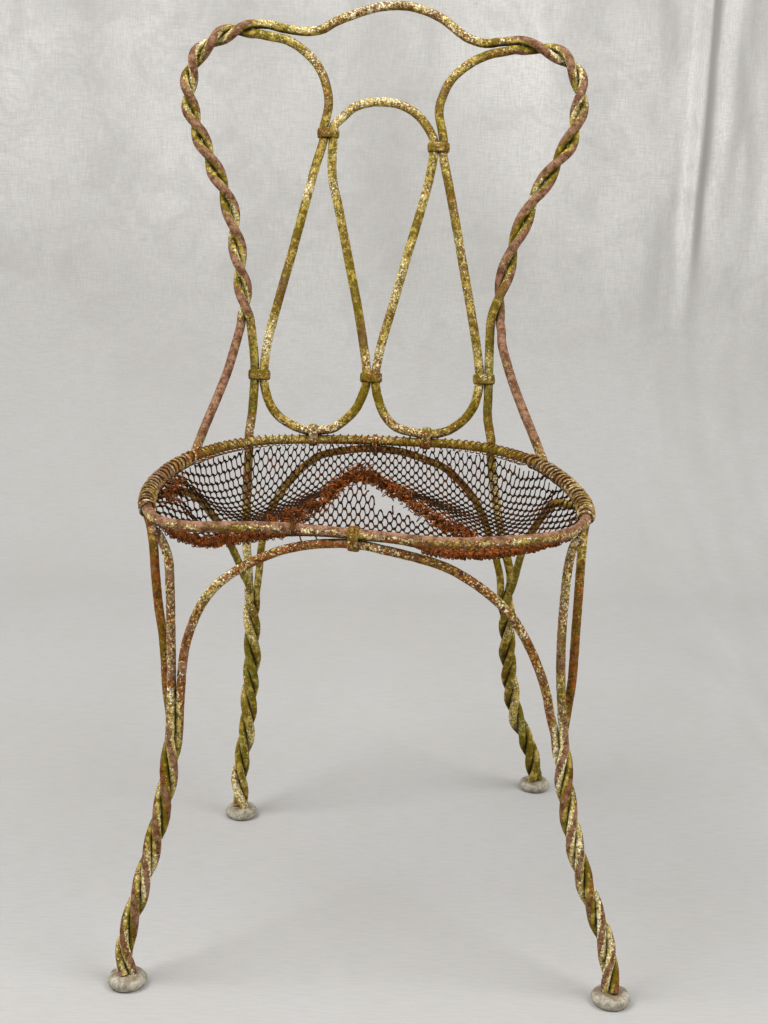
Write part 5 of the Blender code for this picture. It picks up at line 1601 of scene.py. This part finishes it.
    def crumple(self, x: np.ndarray, y: np.ndarray) -> np.ndarray:
        """0 on open net, 1 where it is bunched: under the front rim and along the ridge.

        Args:
            x: places across.
            y: places from front to rear.

        Returns:
            0 to 1 for each.
        """
        px, py = x * 1000.0, y * 1000.0
        front = smooth_step(-py, 78.0, 112.0) * np.maximum(smooth_step(-px, 55.0, 90.0), smooth_step(px, 25.0, 70.0))
        width = np.interp(px, (-110, -60, -18, 20, 60, 100), (9, 11, 10, 8, 11, 10))
        ridge = np.exp(-((py - self.ridge_line(px)) / width) ** 2)
        ridge *= smooth_step(px, -120.0, -85.0) * smooth_step(-px, -118.0, -88.0)
        return np.clip(np.maximum(front, ridge), 0.0, 1.0)

    def coils(self, shift: float, seed: int, bunched: bool) -> list[tuple]:
        """Runs of wire, row by row.

        Args:
            shift: part of a row by which this layer is moved.
            seed: start of the random numbers.
            bunched: True for the extra layer in the bunched places.

        Returns:
            For each run: the row's place, its middle line, how orange it is as rust and painted light, and how thick.
        """
        rng = np.random.default_rng(seed)
        inside = self.kit.layout.rim.distance
        k = np.arange(int(0.50 / self.turn * self.per_turn))
        a = -0.25 + self.turn * k / self.per_turn + self.turn * 0.5 * shift
        half = (k - 3) // (self.per_turn // 2)
        half -= half.min()
        runs = []
        for j in range(-34, 37):
            b = self.row * (j + shift)
            wave = 2 * math.pi * k / self.per_turn + math.pi * (j % 2)
            bend_y = np.arcsin(self.pointed * np.sin(wave)) / math.asin(self.pointed)
            bend_z = np.tanh(self.flattened * np.cos(wave)) / math.tanh(self.flattened)
            y0 = self.lay(a, np.full(len(a), b))
            fold = self.crumple(a, y0)
            wob = wobble((p * 60.0, b * 60.0, seed * 3.0) for p in a)
            rock = wobble((p * 240.0, b * 500.0, seed * 7.0 + 2.0) for p in a)
            front = smooth_step(-y0, 0.075, 0.10)
            tilt = fold * (0.8 + 0.7 * rock) * (1 if (j % 2) else -1) * (1 - 0.75 * front)
            x = a + (0.0009 * wob + fold * 0.0012 * rock - 0.00042 * np.sin(2 * wave))
            y = self.lay(x, b + (self.swing * bend_y * np.cos(tilt) * (1 + 0.06 * wob) + 0.0008 * wob
                                 + fold * 0.002 * rock))
            hx, hy = self.slopes(x, y)
            up = unit(np.c_[-hx, -hy, np.ones(len(hx))])
            proud = self.lift * bend_z + self.swing * 0.62 * np.sin(tilt) * bend_y + fold * 0.0012 * wob
            if bunched:
                proud = proud - (0.0016 - 0.002 * rock) * (1 - front) - 0.0012 * front
            line = np.c_[x, y, self.height(x, y)] + up * proud[:, None]
            drop = [self.torn(a, y0 + 0.5 * self.swing * bend_y)]
            if bunched:
                drop.append((fold < 0.45) | (front > 0.5))
            keep = inside(x, y) > self.inset
            for gone in drop:
                keep &= ~(np.bincount(half, weights=gone) > 2)[half]
            # warm: crumpled wire gets orange rust and painted light; open net stays in painted shade.
            warm = np.clip(fold * 1.1 + 0.02 + 0.3 * wob, 0.0, 1.0)
            thick = 0.82 + 0.75 * np.abs(np.sin(wave)) ** 5 + 0.12 * wob
            edges = np.flatnonzero(np.diff(np.r_[0, keep.astype(int), 0]))
            for s, e in zip(edges[::2], edges[1::2]):
                if e - s < self.tip:
                    continue
                run = line[s:e].copy()
                fade = np.linspace(1, 0, self.tip)
                for end, last, ramp in ((0, slice(0, self.tip), fade), (-1, slice(-self.tip, None), 1 - fade)):
                    if inside(run[end, :1], run[end, 1:2])[0] > self.free:
                        run[last] += ramp[:, None] ** 2 * rng.normal(0, self.loose, 3)
                runs.append((b, run, warm[s:e], thick[s:e]))
        return runs

    def tangle_spots(self) -> np.ndarray:
        """Places of the curls: along the ridge and inside both ends of the rim.

        Returns:
            One row for each curl.
        """
        rng = np.random.default_rng(17)
        x = rng.uniform(-0.112, 0.098, 400)
        y = self.ridge_line(x * 1000.0) * MM + rng.normal(0.0, 0.0042, len(x))
        groups = [np.c_[x, y, self.height(x, y) + rng.normal(0.0012, 0.0026, len(x))]]
        for middle, count in (((-0.186, 0.004), 44), ((0.187, -0.004), 60)):
            x, y = middle[0] + rng.normal(0.0, 0.004, count), middle[1] + rng.normal(0.0, 0.026, count)
            groups.append(np.c_[x, y, self.height(x, y) + rng.normal(0.002, 0.002, count)])
        spots = np.vstack(groups)
        return spots[self.kit.layout.rim.distance(spots[:, 0], spots[:, 1]) > self.curl_inset]

    def curls(self) -> tuple[list[np.ndarray], list[np.ndarray]]:
        """Loose curled ends of wire, and how rusty-orange each is.

        Returns:
            Lines and their heat.
        """
        bends, heat = np.random.default_rng(29), np.random.default_rng(23)
        lines = [spline(spot + bends.normal(0.0, 1.0, (6, 3)) * self.curl_reach, per=6)[0]
                 for spot in self.tangle_spots()]
        return lines, [np.full(len(line), heat.uniform(0.25, 1.0)) for line in lines]

    def fringe(self) -> tuple[list[np.ndarray], list[np.ndarray]]:
        """Ends of coils that stick out below the net behind the front of the rim, and how orange each is.

        Returns:
            Lines and their heat.
        """
        rng = np.random.default_rng(31)
        inside, k = self.kit.layout.rim.distance, np.linspace(-1.0, 1.0, 9)
        lines, heat = [], []
        for y in np.arange(-0.146, -0.086, self.loop_grid[1]):
            for x in np.arange(-0.185, 0.185, self.loop_grid[0]):
                x1, y1 = x + rng.normal(0.0, 0.0006), y + rng.normal(0.0, 0.0012)
                place = np.array([x1]), np.array([y1])
                if self.crumple(*place)[0] < 0.5 or inside(*place)[0] < self.loop_inset:
                    continue
                wide, deep = (size * rng.uniform(least, 1.2) for size, least in zip(self.loop_size, (0.7, 0.35)))
                turn = rng.normal(0.0, 0.5)
                side = wide * np.sin(k * math.pi * 0.62)
                lines.append(np.c_[x1 + side * math.cos(turn), y1 + side * math.sin(turn) - 0.0004 * k,
                                   float(self.height(*place)[0]) + 0.0012 - deep * (1 - k ** 4)])
                heat.append(np.full(len(k), rng.uniform(0.2, 1.0)))
        return lines, heat

    def build(self) -> None:
        """Bend the coils and dress them in pieces."""
        finish = BareWire("rusted_net_wire").make(self.kit.effects)
        open_net = self.coils(0.0, 5, False)
        plans = []
        for part, low, high in (("front", -9.0, -0.045), ("middle", -0.045, 0.065), ("rear", 0.065, 9.0)):
            plans.append((f"seat_net_coils_{part}", [r for r in open_net if low <= r[0] < high]))
        plans.append(("seat_net_bunched_coils", self.coils(0.5, 11, True)))
        pieces = [(name, [r[1] for r in runs], [r[2] for r in runs], self.wire, 6, [r[3] for r in runs])
                  for name, runs in plans]
        pieces.append(("seat_net_hanging_loops", *self.fringe(), self.loop_wire, 4, None))
        pieces.append(("seat_net_curled_ends", *self.curls(), self.curl_wire, 4, None))
        for name, lines, heat, wire, ring, swell in pieces:
            piece = swept(name, lines, wire, ring, swell=swell)
            spread_values(piece.data, "warm", lines, heat)
            self.kit.seat(piece, finish, "seat_net")


@dataclass
class Lacing:
    """Wire wound round the rim: tight at both ends of the seat, open along the rear."""

    kit: Fittings
    wire: float = 0.00125
    pitch: float = 0.0098
    thin: float = 0.0006
    lace_pitch: float = 0.0074
    lace_reach: float = 0.0062
    tied_at: tuple[float, float] = (-64, -161)
    left_span: tuple[tuple[float, float], tuple[float, float]] = ((-186.5, 100), (-193, -108))
    right_span: tuple[tuple[float, float], tuple[float, float]] = ((193, -98), (165, 130))

    def winding(self, start: float, end: float, pitch: float, wire: float, reach: float, loose: float, seed: int,
                arch: tuple[float, float] | None = None) -> np.ndarray:
        """Line of a wire wound round the rim.

        Args:
            start: length along the rim where it starts.
            end: length where it ends.
            pitch: from one loop to the next.
            wire: radius of the wire.
            reach: how far a loop reaches into the net.
            loose: how uneven the loops are.
            seed: start of the noise.
            arch: range of lengths where a side arch lies under the rim.

        Returns:
            The middle line.
        """
        z, per = self.kit.sizes, 16
        count = int(abs(end - start) / pitch * per)
        i = np.arange(count + 1)
        phi = 2 * math.pi * i / per
        wob = wobble((k * 0.11, seed * 3.7, 1.0) for k in i)
        s = start + (end - start) * i / count + wob * pitch * loose
        p, _, out = self.kit.layout.rim.at(s)
        r = z.rim_rod + wire + 0.0003 + loose * 0.0012 * np.abs(wob)
        inner = np.clip(-np.cos(phi), 0.0, 1.0) ** 2
        u = r * np.cos(phi) - reach * inner * (1 + loose * wob)
        v = r * np.sin(phi) - 0.35 * reach * inner
        if arch is not None:
            under = (s > arch[0]) & (s < arch[1]) & (np.sin(phi) < -0.01)
            small = z.apron_rod + wire + 0.0004
            u = np.where(under, small * np.cos(phi), u)
            v = np.where(under, small * np.sin(phi) - z.to_apron, v)
        return p + out * u[:, None] + v[:, None] * (0, 0, 1)

    def bind(self, side: str, span: tuple, arch_top: tuple[float, float], finish: bpy.types.Material) -> None:
        """Wind the binding of one side arch, with painted shade where it is near the rim.

        Args:
            side: left or right.
            span: plan of its start and end.
            arch_top: plan of the middle of the bound arch.
            finish: its material.
        """
        rim, z = self.kit.layout.rim, self.kit.sizes
        start, end, mid = (rim.near(*spot) for spot in (*span, arch_top))
        arch = (mid - z.bound_run, mid + z.bound_run)
        piece = swept(f"{side}_binding_wire", [self.winding(start, end, self.pitch, self.wire, 0.001, 0.6, 3, arch)],
                      self.wire, 8)
        self.kit.wear.weather(piece, f"{side}_binding", 0.004, 0.5)
        # Painted shade between the wraps, darkest where the wire lies on the rim.
        proud = rim.off_axis(coords(piece.data) - SHIFT) - z.rim_rod
        held = np.empty(len(proud), np.float32)
        layer = piece.data.attributes["crevice"].data
        layer.foreach_get("value", held)
        deep = 1.0 - smooth_step(proud, 0.9 * self.wire, 1.9 * self.wire)
        layer.foreach_set("value", np.maximum(held, deep).astype(np.float32))
        self.kit.seat(piece, finish, f"{side}_binding")

    def build(self) -> None:
        """Wind and dress the wires."""
        rim, z = self.kit.layout.rim, self.kit.sizes
        tan = WornPaint("worn_paint_lacing", seed=63.0, grain=280.0, mauve=(166, 134, 102), mauve_deep=(122, 86, 52),
                        olive=(124, 96, 24), ochre=(184, 154, 86), cream=(226, 208, 160)).make(self.kit.effects)
        rust = BareWire("rusted_lacing_wire", shade_dark=(52, 34, 8), mid=(112, 72, 20)).make(self.kit.effects)
        self.bind("left", self.left_span, z.left_bound, tan)
        self.bind("right", self.right_span, z.right_bound, tan)
        start, end = rim.near(*self.right_span[1]), rim.near(*self.left_span[0]) + rim.length
        laces = [self.winding(start, end, self.lace_pitch, self.thin, self.lace_reach, 0.2, 8)]
        tied = rim.near(*self.tied_at)
        tie = [self.winding(tied, tied + 0.0052, 0.0017, 0.0007, 0.0, 0.1, 4)]
        k = np.linspace(0.0, 1.0, 12)
        for x, long in ((-0.057, 0.0115), (-0.044, 0.0085)):
            p = rim.at(rim.at_x(x, False))[0][0]
            tie.append(np.c_[p[0] + 0.003 * k ** 2, p[1] + 0.0068 - 0.002 * k, p[2] - 0.002 - long * k])
        for name, lines, warm in (("rear_net_lacing", laces, 0.35), ("front_net_tie", tie, 0.1)):
            piece = swept(name, lines, self.thin, 6)
            put_values(piece.data, "warm", warm)
            self.kit.seat(piece, rust, "seat_net")


@dataclass
class Studio:
    """Pale cloth sheet behind and under the chair, soft lamps and the camera."""

    eye: tuple[float, float, float] = (0.024 + SHIFT[0], -1.405 + SHIFT[1], 0.785 + SHIFT[2])
    yaw: float = 0.45
    pitch: float = -14.9
    roll: float = 1.43
    focal: float = 1539.0
    picture: float = 1024.0
    far: float = 0.95
    bend: float = 0.45
    air: float = 0.48
    lamp_size: float = 1.5
    lit_height: float = 0.45
    stand: float = 0.45
    cloth_low_shaded: Colour = (196, 195, 195)
    cloth_high_lit: Colour = (242, 240, 235)
    cloth_worn: Colour = (192, 190, 187)
    cloth_thread: Colour = (172, 170, 165)
    cloth_fold_shade: Colour = (168, 166, 162)
    # Hanging folds: x at one metre up, lean, depth, width, and the height where it starts
    folds: tuple[tuple[float, ...], ...] = (
        (0.545, 0.012, 0.022, 0.013, 0.35), (0.665, -0.01, 0.018, 0.012, 1.05), (-0.46, 0.02, 0.006, 0.02, 0.5),
        (0.30, 0.03, 0.005, 0.03, 0.5), (0.60, 0.05, 0.008, 0.03, 0.45), (-0.62, -0.04, 0.007, 0.04, 0.6),
    )

    def sheet(self) -> None:
        """Floor and backdrop as one swept sheet with hanging folds."""
        bm = bmesh.new()
        turn = np.linspace(0.0, math.pi / 2, 25)
        floor = np.arange(-4.0, self.far, 0.05)
        path = np.vstack((np.c_[floor, np.zeros(len(floor))],
                          np.c_[self.far + self.bend * np.sin(turn), self.bend - self.bend * np.cos(turn)],
                          np.c_[np.full(70, self.far + self.bend), self.bend + 0.03 * np.arange(1, 71)]))
        across = np.unique(np.round(np.r_[np.arange(-3.0, 3.01, 0.05), np.arange(0.46, 0.70, 0.006)], 4))
        _, edges = railed(bm, np.c_[np.full(len(path), across[0]), path])
        for step in np.diff(across):
            fresh, edges = extruded(bm, edges)
            bmesh.ops.translate(bm, verts=list(fresh), vec=(float(step), 0, 0))
        piece = piece_of("linen_sheet", bm)
        mesh = piece.data
        co = coords(mesh)
        ahead = normals(mesh) * (-1.0 if normals(mesh)[0, 2] < 0 else 1.0)
        hang, right = smooth_step(co[:, 2], 0.25, 0.8), smooth_step(co[:, 0], 0.2, 0.55)
        drape = (0.003 + 0.010 * hang) * fractal(co * (1.5, 0.8, 0.35), 3.2, 3, 3.0)
        drape += 0.0018 * fractal(co * (1.0, 1.0, 0.7), 15.0, 3, 8.0)
        drape += 0.006 * right * hang * fractal(co * (1.0, 1.0, 0.5), 8.0, 3, 21.0)
        drape += 0.0011 * (0.35 + right) * hang * fractal(co * (1.0, 1.0, 0.8), 34.0, 2, 5.0)
        for x, lean, depth, width, low in self.folds:
            line = np.exp(-((co[:, 0] - x - lean * (co[:, 2] - 1.0)) / width) ** 2)
            drape += depth * line * smooth_step(co[:, 2], low, low + 0.4)
        stand = np.hypot(co[:, 0], co[:, 1]) < self.stand
        set_coords(mesh, co + ahead * np.where(stand, 0.0, drape)[:, None])
        lit = normals(mesh) * np.sign(np.sum(normals(mesh) * ahead, axis=1))[:, None]
        # Painted shade and light on the folds, from the slope of each face as if lit from the side.
        put_values(mesh, "fold", np.clip(0.64 - 1.5 * lit[:, 0] - 1.4 * (lit[:, 2] - ahead[:, 2]), 0.0, 1.0))
        piece.data.materials.append(self.linen())

    def linen(self) -> bpy.types.Material:
        """Woven cloth with clouds, creases and threads, paler higher up as painted light, with painted shade on the
        folds.

        Returns:
            The material.
        """
        material, d = new_material("pale_linen")
        z = d.add("ShaderNodeSeparateXYZ", {0: d.place}).outputs["Z"]
        # Painted light: paler higher up, darker on the floor.
        base = d.mix(d.rise(z, 0.0, 0.9), self.cloth_low_shaded, self.cloth_high_lit)
        base = d.mix(d.rise(d.clouds(2.2, 4.0), 0.3, 0.7, 0.0, 0.5), base, self.cloth_worn)
        base = d.mix(d.rise(d.clouds(9.0, 8.0, 0.68, 1.1), 0.46, 0.62, 0.0, 0.42), base, self.cloth_worn)
        for scale in ([900, 500, 45], [45, 500, 900]):
            thread = d.clouds(1.0, 2.0, place=d.add("ShaderNodeMapping", {0: d.place, 3: scale}).outputs[0])
            base = d.mix(d.rise(thread, 0.42, 0.62, 0.0, 0.30), base, self.cloth_thread)
        # Painted shade on the folds.
        base = d.mix(d.value_of("fold"), self.cloth_fold_shade, base)
        d.feed(d.end, {"Base Color": base, "Roughness": 0.95, "Specular IOR Level": 0.1})
        return material

    def lamps(self) -> None:
        """A soft lamp high on each side in front, and even air."""
        world = bpy.data.worlds.new("studio_air")
        bpy.context.scene.world = world
        world.use_nodes = True
        air = world.node_tree.nodes["Background"].inputs
        air[0].default_value, air[1].default_value = (1.0, 0.995, 0.985, 1.0), self.air
        for name, place, power in (("left_soft_lamp", (-1.5, -0.8, 2.6), 62.0),
                                   ("right_soft_lamp", (1.5, -0.9, 2.6), 48.0)):
            lamp = bpy.data.lights.new(name, "AREA")
            lamp.shape, lamp.size, lamp.energy = "SQUARE", self.lamp_size, power
            holder = bpy.data.objects.new(name, lamp)
            holder.location = place
            holder.rotation_mode = "QUATERNION"
            holder.rotation_quaternion = (Vector((0.0, 0.0, self.lit_height)) - Vector(place)).to_track_quat("-Z", "Y")
            bpy.context.scene.collection.objects.link(holder)

    def camera(self) -> None:
        """Stand the camera where the chair is seen from."""
        data = bpy.data.cameras.new("chair_camera")
        data.sensor_fit = "VERTICAL"
        data.sensor_height = 24.0
        data.lens = self.focal * data.sensor_height / self.picture
        yaw, pitch, roll = (math.radians(v) for v in (self.yaw, self.pitch, self.roll))
        right = np.array((math.cos(yaw), math.sin(yaw), 0.0))
        ahead = np.array((-math.sin(yaw) * math.cos(pitch), math.cos(yaw) * math.cos(pitch), math.sin(pitch)))
        up = np.cross(right, ahead)
        x = math.cos(roll) * right + math.sin(roll) * up
        y = -math.sin(roll) * right + math.cos(roll) * up
        holder = bpy.data.objects.new("chair_camera", data)
        holder.matrix_world = Matrix.Translation(self.eye) @ Matrix(np.c_[x, y, -ahead].tolist()).to_4x4()
        bpy.context.scene.collection.objects.link(holder)
        bpy.context.scene.camera = holder

    def build(self) -> None:
        """Set everything up."""
        bpy.context.scene.view_settings.view_transform = "Standard"
        self.sheet()
        self.lamps()
        self.camera()


def main() -> None:
    """Build the chair piece by piece, then the studio."""
    sizes = Sizes()
    layout = Layout(sizes)
    kit = Fittings(sizes, layout, Wear(layout.draw()), Effects())
    for assembly in (Ironwork(kit), Bands(kit), Feet(kit), NetSeat(kit), Lacing(kit)):
        assembly.build()
        log.info("%s done", type(assembly).__name__)
    Studio().build()
    log.info("%d pieces", len(kit.made))


if __name__ == "__main__":
    main()
